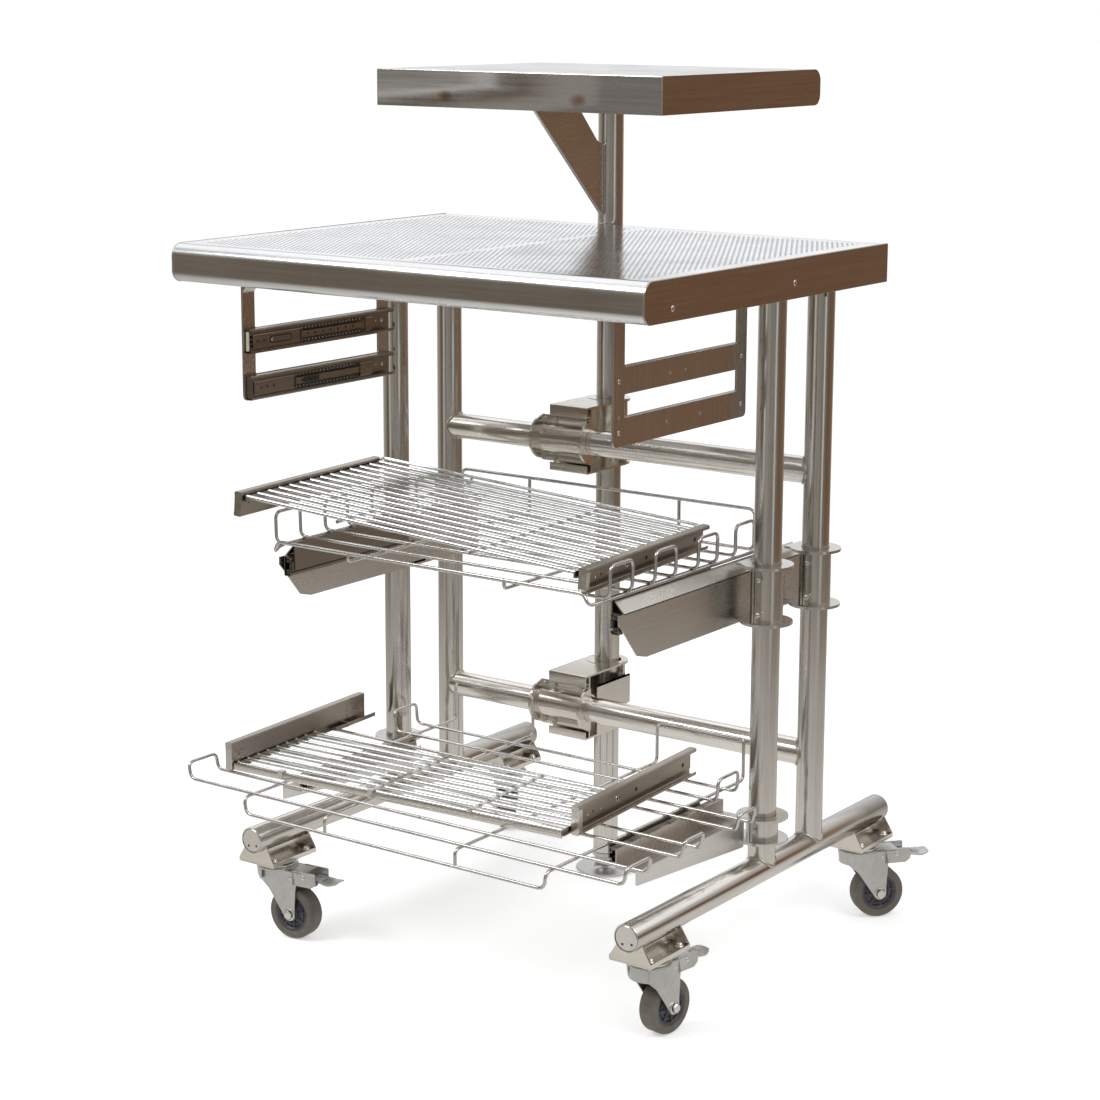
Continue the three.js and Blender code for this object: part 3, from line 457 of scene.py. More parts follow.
def plastic(name, base, second, rough, scale=60, bump=0.2):
    """Plastic or rubber mottled between two colours, with fine light specks."""
    mat, graph = material(name)
    mottle = graph.noise(scale=scale, detail=5, rough=0.65)
    specks = graph.noise(scale=scale * 9, detail=3, rough=0.6)
    colour = graph.mix(graph.ramp(mottle, (0.35, 0.0), (0.7, 1.0)), base, second)
    lit = graph.calc("MULTIPLY", graph.ramp(specks, (0.55, 0.0), (0.75, 1.0)), 0.5)
    colour = graph.mix(lit, colour, shade(base, 1.5))
    rough = graph.calc("ADD", rough, graph.around(mottle, centre=0.5, gain=0.3))
    graph.surface(colour, rough, specks, bump, depth=0.0004)
    return mat


# steels: name, colour, roughness, brushing axis
TUBE_Z = steel("tube_upright", (0.70, 0.67, 0.63), 0.17, "z", grain=0.22, scratch=0.25, bump=0.22)
TUBE_Y = steel("tube_lengthways", (0.70, 0.67, 0.63), 0.18, "y",
               grain=0.22, scratch=0.3, bump=0.22)
# painted light: the crossways tubes take a lighter copy of the same tube steel, brightened for the
# light they catch
TUBE_X = steel("tube_crossways", (0.84, 0.81, 0.76), 0.18, "x", grain=0.2, scratch=0.25, bump=0.2)
TOPSHEET = steel("worktop_sheet", (0.79, 0.795, 0.80), 0.17, "x",
                 grain=0.10, scratch=0.4, bump=0.08)
# painted reflection: the end sheets' brown stands in for the warm room their side faces reflect
ENDSHEET = steel("end_sheet", (0.51, 0.42, 0.35), 0.24, "y",
                 grain=0.15, smudge=0.6, scratch=0.6, bump=0.12)
SHELFSHEET = steel("shelf_sheet", (0.66, 0.645, 0.64), 0.25, "x",
                   grain=0.26, smudge=0.7, scratch=0.6, bump=0.15,
                   heat_marks=[(x, -4, SHELF - 38) for x in (-234, 9)])
# painted reflection: the hanger sheets' brownish grey is steel warmed by the room their side faces
# reflect
HANGSHEET = steel("hanger_sheet", (0.57, 0.52, 0.475), 0.27, "z",
                  grain=0.1, scratch=0.3, bump=0.04)
PLATE = steel("arm_plate", (0.67, 0.65, 0.61), 0.27, "y", grain=0.12, scratch=0.3, bump=0.05)
ARMPLATE = steel("bottom_arm_plate", (0.82, 0.81, 0.79), 0.36, "y",
                 grain=0.12, smudge=0.4, scratch=0.5, bump=0.1)
CLAMP = steel("clamp_plate", (0.74, 0.70, 0.64), 0.2, "x",
              grain=0.12, smudge=0.6, scratch=0.4, bump=0.08)
SHELL = steel("clamp_shell", (0.66, 0.63, 0.59), 0.22, "z", grain=0.14, scratch=0.3, bump=0.1)
WIRE = steel("bright_wire", (0.66, 0.65, 0.63), 0.20,
             grain=0.16, scratch=0.1, bump=0.03, sizes=(35, 90))
RACKWIRE = steel("rack_wire", (0.78, 0.79, 0.80), 0.20,
                 grain=0.16, scratch=0.1, bump=0.03, sizes=(35, 90))
SLIDE = steel("slide_channel", (0.34, 0.30, 0.25), 0.30, "y",
              grain=0.22, smudge=0.7, scratch=0.4, bump=0.12, worn=(0.5, 0.48, 0.44))
RAIL = steel("rack_rail", (0.44, 0.39, 0.34), 0.29, "y",
             grain=0.12, smudge=0.6, scratch=0.2, bump=0.05, worn=(0.5, 0.48, 0.44))
CAGE = steel("ball_cage", (0.12, 0.11, 0.10), 0.42, "y", grain=0.2, smudge=0.6, scratch=0.2,
             bump=0.2, worn=(0.3, 0.3, 0.3), metallic=0.8)
ZINC = steel("zinc_plate", (0.60, 0.60, 0.585), 0.33,
             grain=0.2, smudge=1.0, scratch=0.5, bump=0.18, sizes=(120, 500))
BRIGHT = steel("bright_screw", (0.72, 0.70, 0.66), 0.20,
               grain=0.1, scratch=0.15, bump=0.05, sizes=(120, 500))
WELD = steel("weld_bead", (0.62, 0.57, 0.50), 0.30, grain=0.3, smudge=0.9, scratch=0.2, bump=0.6)

# plastics: name, the two colours
# painted shade: near-black discs and strips in this material stand in for the shade inside holes,
# slots and gaps
HOLE_SHADE = plastic("painted_hole_shade", (0.015, 0.013, 0.012), (0.03, 0.025, 0.02), rough=0.7)
TYRE = plastic("tyre_tread", (0.080, 0.069, 0.053), (0.125, 0.112, 0.092),
               rough=0.6, scale=45, bump=0.45)
CORE = plastic("wheel_core", (0.024, 0.025, 0.031), (0.07, 0.07, 0.075),
               rough=0.45, scale=50, bump=0.25)
TIP = plastic("slide_tip", (0.33, 0.31, 0.20), (0.42, 0.39, 0.28), rough=0.5, scale=90)
NYLON = plastic("dark_insert", (0.02, 0.02, 0.02), (0.04, 0.04, 0.04), rough=0.4, scale=80)
PIN = plastic("dark_pin", (0.02, 0.02, 0.02), (0.05, 0.05, 0.05), rough=0.5, scale=80)

# ------------------------------------------------------------------ side frames
for side, sign in SIDES:
    x = sign * POST_X
    part = Shape()
    part.lathe([(0, 3), (18.2, 3), (18.2, 0.6), (19.2, 0), (20, 1.0), (20, 694.0), (19.2, 695),
                (18.2, 694.4), (18.2, 692), (0, 692)], (x, -348, BASE), (0, 1, 0), 64)
    # end discs, a hair inside the tube's mouths
    part.mat = 2
    for y, facing in ((-348, 1), (347, -1)):
        part.lathe([(0, 3.2), (17.6, 3.2), (17.6, 0.9), (16.9, 0.3), (0, 0.3)],
                   (x, y, BASE), (0, facing, 0), 48)
    part.mat = 1
    height = POST_TOP - BASE
    for y in POST_YS:
        part.lathe([(17.5, height), (20, height), (20, 5), (17.5, 5), (17.5, height)],
                   (x, y, BASE), (0, 0, 1), 64)
    part.mat = 3
    for y in POST_YS:
        part.weld((x, y, BASE), (0, 0, 1), (0, 1, 0))
    # two dark spots on the front end disc, in the near-black painted shade
    part.mat = 4
    for dx, dz in ((-6, -9), (9, -7)):
        part.disc((x + dx, -347.9, BASE + dz), (0, 1, 0), 1.9, 0.1, 0.5, 12)
    make(part, "frame_tubes_" + side, "frame",
         [TUBE_Y, TUBE_Z, BRIGHT, WELD, HOLE_SHADE], "side_frame_" + side, sharp=40)

# ------------------------------------------------------------------ cross tubes
for name, z in (("cross_tube_lower", CROSS_LOW), ("cross_tube_upper", CROSS_HIGH)):
    part = Shape()
    end = 2 * POST_X - 8
    part.lathe([(17.5, 8), (19.9, 8), (19.9, end), (17.5, end), (17.5, 8)],
               (-POST_X, 135, z), (1, 0, 0), 64)
    part.mat = 1
    for sign in (-1, 1):
        part.weld((sign * POST_X, 135, z), (-sign, 0, 0), (0, 0, 1), blunt=0.9)
    make(part, name + "_welded", "frame", [TUBE_X, WELD], name, sharp=40)

# ------------------------------------------------------------------ worktop
HOLE_PITCH, HOLE_ROW, HOLE_R = 8.2, 7.1, 2.0
PERF_FRONT, PERF_BACK = -388, 176
SKIN_HALF = TOP_HALF - 2.3


def perforated(part, x0, x1):
    """Staggered six-sided holes, each in a rectangular cell; odd rows end in plain half cells."""
    columns, rows = int((x1 - x0) / HOLE_PITCH), int((PERF_BACK - PERF_FRONT) / HOLE_ROW)
    pitch, depth = (x1 - x0) / columns, (PERF_BACK - PERF_FRONT) / rows
    levels = (TOP, TOP - SHEET)
    verts, faces, index = [], [], {}

    def vert(point, z):
        key = (round(point[0], 3), round(point[1], 3), z)
        if key not in index:
            index[key] = len(verts)
            verts.append((*point, z))
        return index[key]

    for j in range(rows):
        ya, yb = PERF_FRONT + j * depth, PERF_FRONT + (j + 1) * depth
        shift = 0.5 * pitch if j % 2 else 0.0
        cells = [(x0 + shift + i * pitch, x0 + shift + (i + 1) * pitch, True)
                 for i in range(columns - j % 2)]
        if shift:
            cells = [(x0, x0 + shift, False), *cells, (x1 - shift, x1, False)]
        for xa, xb, pierced in cells:
            if not pierced:
                faces += [[vert(point, z) for point in rect(xa, xb, ya, yb)] for z in levels]
                continue
            xm, ym = (xa + xb) / 2, (ya + yb) / 2
            outer = [(xm, yb), (xb, yb), (xb, ya), (xm, ya), (xa, ya), (xa, yb)]
            inner = [(xm + HOLE_R * math.cos(math.radians(angle)),
                      ym + HOLE_R * math.sin(math.radians(angle)))
                     for angle in (90, 30, -30, -90, -150, 150)]
            for i in range(6):
                k = (i + 1) % 6
                for z in levels:
                    faces.append([vert(outer[i], z), vert(outer[k], z),
                                  vert(inner[k], z), vert(inner[i], z)])
                faces.append([vert(inner[i], TOP), vert(inner[k], TOP),
                              vert(inner[k], TOP - SHEET), vert(inner[i], TOP - SHEET)])
    part.add(verts, faces)


def rolled(front, back, top, inset, steps):
    """An end plate's outline (y, z), with its front rolled under."""
    bottom = top - SKIRT
    return ([(back - inset, bottom + inset), (back - inset, top - inset)]
            + arc(front + NOSE_R, top - NOSE_R, NOSE_R - inset, 90, 180, steps)
            + arc(front + TUCK_R, bottom + TUCK_R, TUCK_R - inset, 180, 270, steps - 4))


def nose(inset):
    """One face of the sheet round the worktop's front edge, as (y, z)."""
    return ([(PERF_FRONT, TOP - inset)]
            + arc(TOP_FRONT + NOSE_R, TOP - NOSE_R, NOSE_R - inset, 90, 180, 16)
            + arc(TOP_FRONT + TUCK_R, TOP - SKIRT + TUCK_R, TUCK_R - inset, 180, 270, 16)
            + [(-395, TOP - SKIRT + inset)])


part = Shape()
part.prism("x", nose(0) + nose(SHEET)[::-1], -SKIN_HALF, SKIN_HALF)
back_lip = [
    (PERF_BACK, TOP), (TOP_BACK, TOP), (TOP_BACK, TOP - SKIRT), (194, TOP - SKIRT),
    (194, TOP - SKIRT + SHEET), (TOP_BACK - SHEET, TOP - SKIRT + SHEET),
    (TOP_BACK - SHEET, TOP - SHEET), (PERF_BACK, TOP - SHEET)]
part.prism("x", fillet(back_lip, [0, 2.5, 2.5, 0, 0, 1, 1, 0], 4), -SKIN_HALF, SKIN_HALF)
# plain strips at both ends and down the middle, perforated fields between them
for x0, x1 in ((-SKIN_HALF, -376), (-7, 7), (376, SKIN_HALF)):
    part.box(x0, x1, PERF_FRONT, PERF_BACK, TOP - SHEET, TOP)
perforated(part, -376, -7)
perforated(part, 7, 376)
make(part, "worktop_sheet", "frame", [TOPSHEET], "worktop_panel")

# folded stiffener under the plain centre strip, as (x, depth below the top)
part = Shape()
stiffener = [(-24, 2), (-24, 22), (-14, 22), (-14, 20.5), (-22.5, 20.5), (-22.5, 3.5),
             (22.5, 3.5), (22.5, 20.5), (14, 20.5), (14, 22), (24, 22), (24, 2)]
part.prism("y", [(x, TOP - depth) for x, depth in stiffener], -396, 205)
make(part, "worktop_stiffener", "frame", [PLATE], bevel=0.4)

for side, sign in SIDES:
    part = Shape()
    part.prism("x", rolled(TOP_FRONT, TOP_BACK, TOP, 0, 18), *span(sign, TOP_HALF - 2, TOP_HALF))
    part.mat = 1
    for y, drop in ((-353, 38), (-52, 33)):
        part.dome((sign * (TOP_HALF - 0.2), y, TOP - drop), (sign, 0, 0), 4.2, 1.6, 18)
    # thin weld line where the end plate meets the rolled sheet
    part.mat = 2
    seam = [(sign * (TOP_HALF - 2.2), y, z)
            for y, z in rolled(TOP_FRONT, TOP_BACK, TOP, 0.2, 18)]
    part.wire(seam[1:], 0.9, 6)
    make(part, "worktop_end_" + side, "frame", [ENDSHEET, BRIGHT, WELD],
         "worktop_end_plate_" + side, sharp=40, bevel=0.5)

# small dark pin under the apron, outside the right-hand posts
part = Shape()
for low, high, radius in ((-9, 4, 1.6), (-2, 1, 2.6)):
    part.rod((POST_X + 48, 62, TOP - SKIRT + low), (POST_X + 48, 62, TOP - SKIRT + high),
             radius, 12, 0.4)
make(part, "apron_pin", "frame", [PIN])


# ------------------------------------------------------------------ drawer slides
# A slide is placed by the side face it is fixed to, its centre height and its half height.
def flipped(section):
    """The section's other half, mirrored top to bottom."""
    return [(depth, -height) for depth, height in reversed(section)]


def channel(part, sign, face, z, half, y0, y1):
    """The fixed, outer channel: rolled raceways top and bottom."""
    depth, wall = 12.7, 1.3
    lower = [(0, -half), (depth - 2, -half), (depth, -half + 2), (depth, -half + 5.2),
             (depth - wall, -half + 5.2), (depth - wall, -half + 2.4),
             (depth - 2.6, -half + wall), (wall, -half + wall)]
    part.prism("y", inward(sign, face, z, lower + flipped(lower)), y0, y1)


def member(part, sign, face, z, half, y0, y1):
    """The moving member that runs inside a channel."""
    outer = [(3, -half + 2.6), (9.2, -half + 2.6), (10.3, -half + 3.7), (10.3, -half + 7.5),
             (13.4, -half + 7.5), (14.5, -half + 8.6)]
    inner = [(13, -half + 9), (8.8, -half + 9), (8.8, -half + 4.1), (3, -half + 4.1)]
    part.prism("y", inward(sign, face, z, outer + flipped(outer) + flipped(inner) + inner),
               y0, y1)


def cage(part, sign, face, z, half, y0, y1, ball_r, ball_mat):
    """A pressed ball cage in slot 1: windowed strips above and below, with their balls."""
    pitch = 7.6
    centres = [y0 + pitch * (i + 0.5) for i in range(int((y1 - y0) / pitch))]
    levels = [z + k * (half - 8.2) for k in (-1, 1)]
    part.mat = 1
    for level in levels:
        holes = [rect(y - 2.6, y + 2.6, level - 1.9, level + 1.9, 0.8, 1) for y in centres]
        part.prism("x", rect(y0, y1, level - 2.9, level + 2.9),
                   *span(sign, face - 10.9, face - 11.7), holes)
    part.mat = ball_mat
    ball = [(0, -ball_r), *bulge(ball_r, ball_r, 0, (-60, -30, 0, 30, 60)), (0, ball_r)]
    for y in centres:
        for level in levels:
            part.lathe(ball, (sign * (face - 9.7), y, level), (0, 0, 1), 8)


HANGER_FRONT, HANGER_BACK = -358.0, -33.0
UPPER_Z, LOWER_Z = BASE + 751, BASE + 684
HANGER_H = 17.5  # half height of the hanger slides


def hanger_sheet(side, sign, outer):
    part = Shape()
    window = (HANGER_FRONT + 25.5, HANGER_BACK - 25.5)
    part.prism("x", rect(HANGER_FRONT, HANGER_BACK, BASE + 665, POST_TOP, [9, 9, 0, 0], 6),
               *span(sign, outer - 3, outer),
               [rect(*window, BASE + 702.5, BASE + 733, 2.5, 3),
                rect(*window, BASE + 769, POST_TOP - 14, 2.5, 3)])
    part.box(*span(sign, outer - 22, outer - 1), HANGER_FRONT, HANGER_BACK,
             POST_TOP - 2.5, POST_TOP)
    # small folded lip at the front corner, just under the worktop's skirt, in bright steel as a
    # painted highlight
    part.mat = 1
    part.prism("y", inward(sign, outer, BASE, [(2.9, 820), (8.5, 828), (8.5, 832), (2.9, 832)]),
               HANGER_FRONT + 0.3, HANGER_FRONT + 25)
    make(part, "hanger_sheet_" + side, "frame", [HANGSHEET, BRIGHT],
         "hanger_frame_" + side, sharp=40, bevel=0.5)


def hanger_channels(side, sign, outer, front, screw_y, hole_ys):
    part = Shape()
    part.mat = 1
    for y in (HANGER_FRONT + 13, HANGER_BACK - 13):
        for z in (UPPER_Z, LOWER_Z):
            part.dome((sign * (outer - 0.2), y, z), (sign, 0, 0), 3.4, 1.3, 16)
    for y, z in ((HANGER_FRONT + 13, 704), (-232, 684), (-150, 684), (-225, 749), (-188, 749)):
        part.dome((sign * (outer - 0.3), y, BASE + z), (sign, 0, 0), 2.2, 0.7, 14)
    part.mat = 0
    face = outer - 2.8
    for z in (UPPER_Z, LOWER_Z):
        channel(part, sign, face, z, HANGER_H, front, -35)
    # screws through the channels' webs, then dark holes drawn as discs of painted shade
    part.mat = 1
    for z in (UPPER_Z, LOWER_Z):
        for y in (screw_y, -52):
            part.dome((sign * (face - 1.2), y, z), (-sign, 0, 0), 3.4, 1.5, 14)
        part.dome((sign * (face - 1.2), -66, z), (-sign, 0, 0), 1.6, 0.9, 10)
    part.mat = 2
    for z in (UPPER_Z, LOWER_Z):
        for y, lift in ((hole_ys[0], 4), (hole_ys[1], 4), (-80, 0)):
            part.disc((sign * (face - 1.35), y, z + lift), (-sign, 0, 0), 1.7, 0, 0.25, 10)
    make(part, "hanger_channels_" + side, "frame", [SLIDE, BRIGHT, HOLE_SHADE])


def hanger_slide(level, side, sign, face, z, front, cage_front):
    """A member cut away in the middle, where its ball cage shows."""
    part = Shape()
    cage_back = cage_front + 144
    member(part, sign, face, z, HANGER_H, front, cage_front)
    member(part, sign, face, z, HANGER_H, cage_back, -90)
    part.box(*span(sign, face - 9.0, face - 13.0), cage_front - 1, cage_back + 1,
             z - 4.8, z + 4.8)
    cage(part, sign, face, z, HANGER_H, cage_front + 1, cage_back - 1, 1.75, 3)
    # dark oval of painted shade; the upper one holds a raised steel oval with a stud
    part.mat = 2
    if level == "upper":
        y = cage_front - 46
        part.prism("x", rect(y - 24, y + 24, z - 5.5, z + 5.5, 5.4, 5),
                   *span(sign, face - 13.3, face - 14.75))
        part.mat = 0
        part.prism("x", rect(y - 21, y + 21, z - 3.6, z + 3.6, 3.4, 5),
                   *span(sign, face - 13.3, face - 15.2))
        part.mat = 3
        part.dome((sign * (face - 15.1), y - 20, z), (-sign, 0, 0), 2.2, 1.2, 12)
        front_holes, strip_holes = (8, 22, 36, 47), 7
    else:
        y = cage_front + 34
        part.prism("x", rect(y - 18, y + 18, z - 4, z + 4, 3.6, 5),
                   *span(sign, face - 12.6, face - 13.3))
        front_holes, strip_holes = (14, 27, 41), 2
    # small holes in the front length and along the cage strip, and a dark band between, all
    # near-black painted shade
    part.mat = 2
    holes = [(front + offset, 14.5) for offset in front_holes]
    holes += [(cage_front + 14 + 17 * i, 13.0) for i in range(strip_holes)]
    for y, depth in holes:
        part.disc((sign * (face - depth), y, z), (-sign, 0, 0), 1.9, -0.3, 0.3, 12)
    part.prism("x", rect(cage_front - 5, cage_front - 1, z - 9, z + 9),
               *span(sign, face - 13.5, face - 14.8))
    make(part, f"slide_{level}_{side}", f"hanger_slide_{level}_{side}_member",
         [SLIDE, CAGE, HOLE_SHADE, BRIGHT], f"hanger_slide_{level}_{side}")


def slide_mouth(level, sign, face, z):
    """The front of a left-hand slide: a plastic block above, a folded tab below."""
    part = Shape()
    if level == "upper":
        part.prism("y", inward(sign, face, z, rect(2.0, 7.4, -14, 14, 1.6, 3)), -354.6, -352.2)
        part.mat = 1
        for dz in (-10, -3.4, 3.4, 10):
            part.lathe([(0, 0), (2.0, 0), (2.0, 0.8), (1.2, 1.2), (0, 1.2)],
                       (sign * (face - 10.4), -352.2, z + dz), (0, -1, 0), 12)
    else:
        part.mat = 2
        part.prism("y", inward(sign, face, z, rect(1.6, 12.6, -15.2, 15.2, 2.5, 4)),
                   -354.2, -352.2)
        # painted highlight: a thin bright wire along the tab's top edge
        part.mat = 3
        part.wire([(sign * (face - depth), -353.6, z + 15.0) for depth in (3, 12)], 0.8, 8)
    make(part, "slide_mouth_" + level, f"hanger_slide_{level}_left_member",
         [TIP, NYLON, SLIDE, BRIGHT], bevel=0.3)


# side, sign, sheet's outer face, channel front, front screw y, front hole ys
HANGERS = (("left", -1, 326.0, -355, -338, (-345, -330)),
           ("right", 1, 316.5, -337, -318, (-326, -310)))
for side, sign, outer, front, screw_y, hole_ys in HANGERS:
    hanger_sheet(side, sign, outer)
    hanger_channels(side, sign, outer, front, screw_y, hole_ys)
    for level, z, cage_front in (("upper", UPPER_Z, -248), ("lower", LOWER_Z, -262)):
        hanger_slide(level, side, sign, outer - 2.8, z, front + 3, cage_front)
        if side == "left":
            slide_mouth(level, sign, outer - 2.8, z)

# ------------------------------------------------------------------ crossover clamps
BORE = TUBE_R + 0.3
FLANGE_R = 34
CLAMP_LEFT, CLAMP_RIGHT = COL_X - 35, COL_X + 35
FRONT_LEFT = COL_X - 58  # the front shell reaches further left


def clamp_front(level, z):
    part = Shape()
    for outer, x0, x1 in ((BORE + 3, FRONT_LEFT + 1, CLAMP_RIGHT + 3),
                          (FLANGE_R, FRONT_LEFT, FRONT_LEFT + 4),
                          (FLANGE_R, CLAMP_RIGHT, CLAMP_RIGHT + 4)):
        part.prism("x", half_ring(CROSS_Y, z, BORE, outer, 180, 36), x0, x1)
    for low, high in ((z + BORE, z + 36), (z - 36, z - BORE)):
        part.prism("x", rect(CROSS_Y - 4.2, CROSS_Y - 0.6, low, high, 0.6, 2),
                   FRONT_LEFT + 4, CLAMP_RIGHT)
    make(part, level + "_clamp_front", "frame", [CLAMP],
         level + "_clamp_front_shell")
    part = Shape()
    for x in (FRONT_LEFT + 12, COL_X - 27, COL_X + 27):
        for dz in (-29, 29):
            part.socket((x, CROSS_Y - 4.2, z + dz), (0, -1, 0), 4.4, 3.3)
    make(part, level + "_clamp_front_screws", "frame", [BRIGHT])


def clamp_box(level, z):
    """A folded box with half shells behind the cross tube and before the column."""
    part = Shape()
    for lip, outer, inner in ((37, 54, 51), (-37, -50, -47)):
        web = [(CROSS_Y - 10, z + lip), (CROSS_Y - 10, z + outer), (COL_Y - 8, z + outer),
               (COL_Y - 8, z + inner), (CROSS_Y - 7.8, z + inner), (CROSS_Y - 7.8, z + lip)]
        part.prism("x", fillet(web, [0, 2.5, 0, 0, 1, 0], 3), CLAMP_LEFT, CLAMP_RIGHT)
    part.prism("x", half_ring(CROSS_Y, z, BORE, BORE + 3, 0, 32), CLAMP_LEFT, CLAMP_RIGHT)
    for low, high in ((z + BORE, z + 51.2), (z - 47.2, z - BORE)):
        part.box(CLAMP_LEFT, CLAMP_RIGHT, CROSS_Y + 0.5, CROSS_Y + 3.5, low, high)
    for inner, outer, low, high in ((BORE, BORE + 3, -49.5, 53.5),
                                    (BORE + 0.2, FLANGE_R, -50.6, -47.4),
                                    (BORE + 0.2, FLANGE_R, 51.4, 54.6)):
        part.prism("z", half_ring(COL_X, COL_Y, inner, outer, 270, 32), z + low, z + high)
    for x0, x1 in ((COL_X - 34, COL_X - BORE), (COL_X + BORE, COL_X + 34)):
        part.box(x0, x1, COL_Y - 3.5, COL_Y - 0.5, z - 49, z + 53)
    part.box(COL_X - 2, COL_X + 2, CROSS_Y + 22, COL_Y - 22, z - 48, z + 52)
    if level == "lower":
        # stepped plate on the right-hand side
        plate = [(20, -46), (75, -46), (75, -14), (112, -14), (112, 33), (20, 33)]
        edge = (CLAMP_RIGHT - 0.5, CLAMP_RIGHT + 2)
        part.prism("x", fillet([(CROSS_Y + y, z + dz) for y, dz in plate], 1, 2), *edge)
        part.prism("y", rect(*edge, z + 33, z + 30.5), CROSS_Y + 20, CROSS_Y + 112)
    make(part, level + "_clamp_box", "frame", [CLAMP], level + "_clamp_body")


def clamp_rear(level, z):
    part = Shape()
    for outer, low, high in ((BORE + 3, -50, 54), (FLANGE_R, -50, -46), (FLANGE_R, 50, 54)):
        part.prism("z", half_ring(COL_X, COL_Y, BORE, outer, 90, 32), z + low, z + high)
    for x0, x1 in ((COL_X - 33, COL_X - BORE), (COL_X + BORE, COL_X + 33)):
        part.box(x0, x1, COL_Y + 0.6, COL_Y + 3.5, z - 50, z + 54)
    make(part, level + "_clamp_rear", "frame", [CLAMP],
         level + "_clamp_rear_shell")
    part = Shape()
    for x in (COL_X - 27, COL_X + 27):
        for dz in (-30, 34):
            part.hexhead((x, COL_Y + 3.5, z + dz), (0, 1, 0), 4.6, 3.4)
            part.socket((x, COL_Y - 3.5, z + dz), (0, -1, 0), 3.6, 2.6)
    make(part, level + "_clamp_rear_bolts", "frame", [BRIGHT])


for level, z in (("upper", CROSS_HIGH), ("lower", CROSS_LOW)):
    clamp_front(level, z)
    clamp_box(level, z)
    clamp_rear(level, z)

# ------------------------------------------------------------------ column and foot
part = Shape()
part.lathe([(18.5, 33), (19.5, 33), (20, 33.5), (20, COL_TOP), (18.5, COL_TOP), (18.5, 33)],
           (COL_X, COL_Y, 0), (0, 0, 1), 64)
part.mat = 1
gusset = [(216, BASE + 905), (216, BASE + 1010), (195, BASE + 1019), (154, BASE + 1062),
          (154, COL_TOP), (28, COL_TOP), (28, BASE + 1076), (209, BASE + 905)]
part.prism("x", fillet(gusset, [0, 0, 6, 2, 0, 0, 2, 2], 4), COL_X - 2, COL_X + 2)
# bright front edge, a round bead whose light steel is a painted highlight, then welds to the
# column and the shelf
part.mat = 3
part.wire(bent([(COL_X, 28.2, COL_TOP - 1), (COL_X, 28.2, BASE + 1076),
                (COL_X, 208.6, BASE + 905.5)], 2, 3), 2.15, 8)
part.mat = 2
for x in (COL_X - 2.6, COL_X + 2.6):
    part.wire([(x, 214.6, BASE + 906), (x, 214.6, BASE + 1010)], 1.5, 8)
    part.wire([(x, 29, COL_TOP - 0.7), (x, 153, COL_TOP - 0.7)], 1.3, 8)
make(part, "column_tube", "overshelf_column", [TUBE_Z, PLATE, WELD, BRIGHT],
     "column", sharp=40)

part = Shape()
part.lathe([(0, 2), (46.5, 2), (47.5, 2.8), (47.5, 5.6), (46.5, 6.5), (22, 6.5), (18.5, 7.6),
            (16.5, 10), (16.5, 57), (15.5, 58), (0, 58)], (COL_X, COL_Y, 0), (0, 0, 1), 64)
part.lathe([(16, 26), (20.2, 26), (21, 26.8), (21, 31.9), (20.2, 32.6), (16, 32.6), (16, 26)],
           (COL_X, COL_Y, 0), (0, 0, 1), 48)
make(part, "column_foot_disc", "column_lift_body", [ZINC], "column_foot")


# ------------------------------------------------------------------ overshelf
def shelf_skin(inset):
    """One face of the overshelf's sheet from front lip to rolled back, as (y, z)."""
    bottom = SHELF - SKIRT
    return ([(SHELF_FRONT + 14, bottom + inset), (SHELF_FRONT + inset, bottom + inset),
             (SHELF_FRONT + inset, SHELF - inset)]
            + arc(SHELF_BACK - NOSE_R, SHELF - NOSE_R, NOSE_R - inset, 90, 0, 15)
            + arc(SHELF_BACK - TUCK_R, bottom + TUCK_R, TUCK_R - inset, 0, -90, 10)
            + [(SHELF_BACK - 22, bottom + inset)])


part = Shape()
part.prism("x", shelf_skin(0) + shelf_skin(SHEET)[::-1], SHELF_LEFT + SHEET, SHELF_RIGHT - SHEET)
part.mat = 1
end_plate = [(-y, z) for y, z in reversed(rolled(-SHELF_BACK, -SHELF_FRONT, SHELF, 0, 14))]
for x0, x1 in ((SHELF_LEFT, SHELF_LEFT + SHEET), (SHELF_RIGHT - SHEET, SHELF_RIGHT)):
    part.prism("x", end_plate, x0, x1)
for x0, x1 in ((SHELF_LEFT + 0.5, SHELF_LEFT + 14), (SHELF_RIGHT - 14, SHELF_RIGHT - 0.5)):
    part.box(x0, x1, SHELF_FRONT + 15, SHELF_BACK - 22.3,
             SHELF - SKIRT + 0.2, SHELF - SKIRT + SHEET - 0.2)
make(part, "overshelf_pan", "overshelf_column", [SHELFSHEET, ENDSHEET],
     "overshelf", bevel=0.6)

# fine bright edge along the top of the front apron and down its right-hand end, a painted
# highlight
part = Shape()
edge_y, edge_x = SHELF_FRONT + 0.3, SHELF_RIGHT - 0.5
part.wire(bent([(SHELF_LEFT + 0.7, edge_y, SHELF - 0.7), (edge_x, edge_y, SHELF - 0.7),
                (edge_x, edge_y, SHELF - SKIRT + 1)], 1.5, 4), 0.75, 8)
make(part, "overshelf_painted_edge_highlight", "overshelf_column", [BRIGHT])


# ------------------------------------------------------------------ arms clamped to the posts
def post_half(part, sign, facing, y, z0, z1):
    """A half shell with flanges and ears round a post, on its facing side along X."""
    x = sign * POST_X
    middle = 0 if facing > 0 else 180
    bore = TUBE_R + 0.75
    part.prism("z", half_ring(x, y, bore, bore + 2.6, middle, 28), z0, z1)
    for z in (z0, z1):
        part.prism("z", half_ring(x, y, bore, 37.6, middle, 32), z - 2, z + 2)
    ear = sorted((x + facing * 0.6, x + facing * 3.7))
    for y0, y1 in ((y - 34, y - 21), (y + 21, y + 34)):
        part.box(*ear, y0, y1, z0, z1)


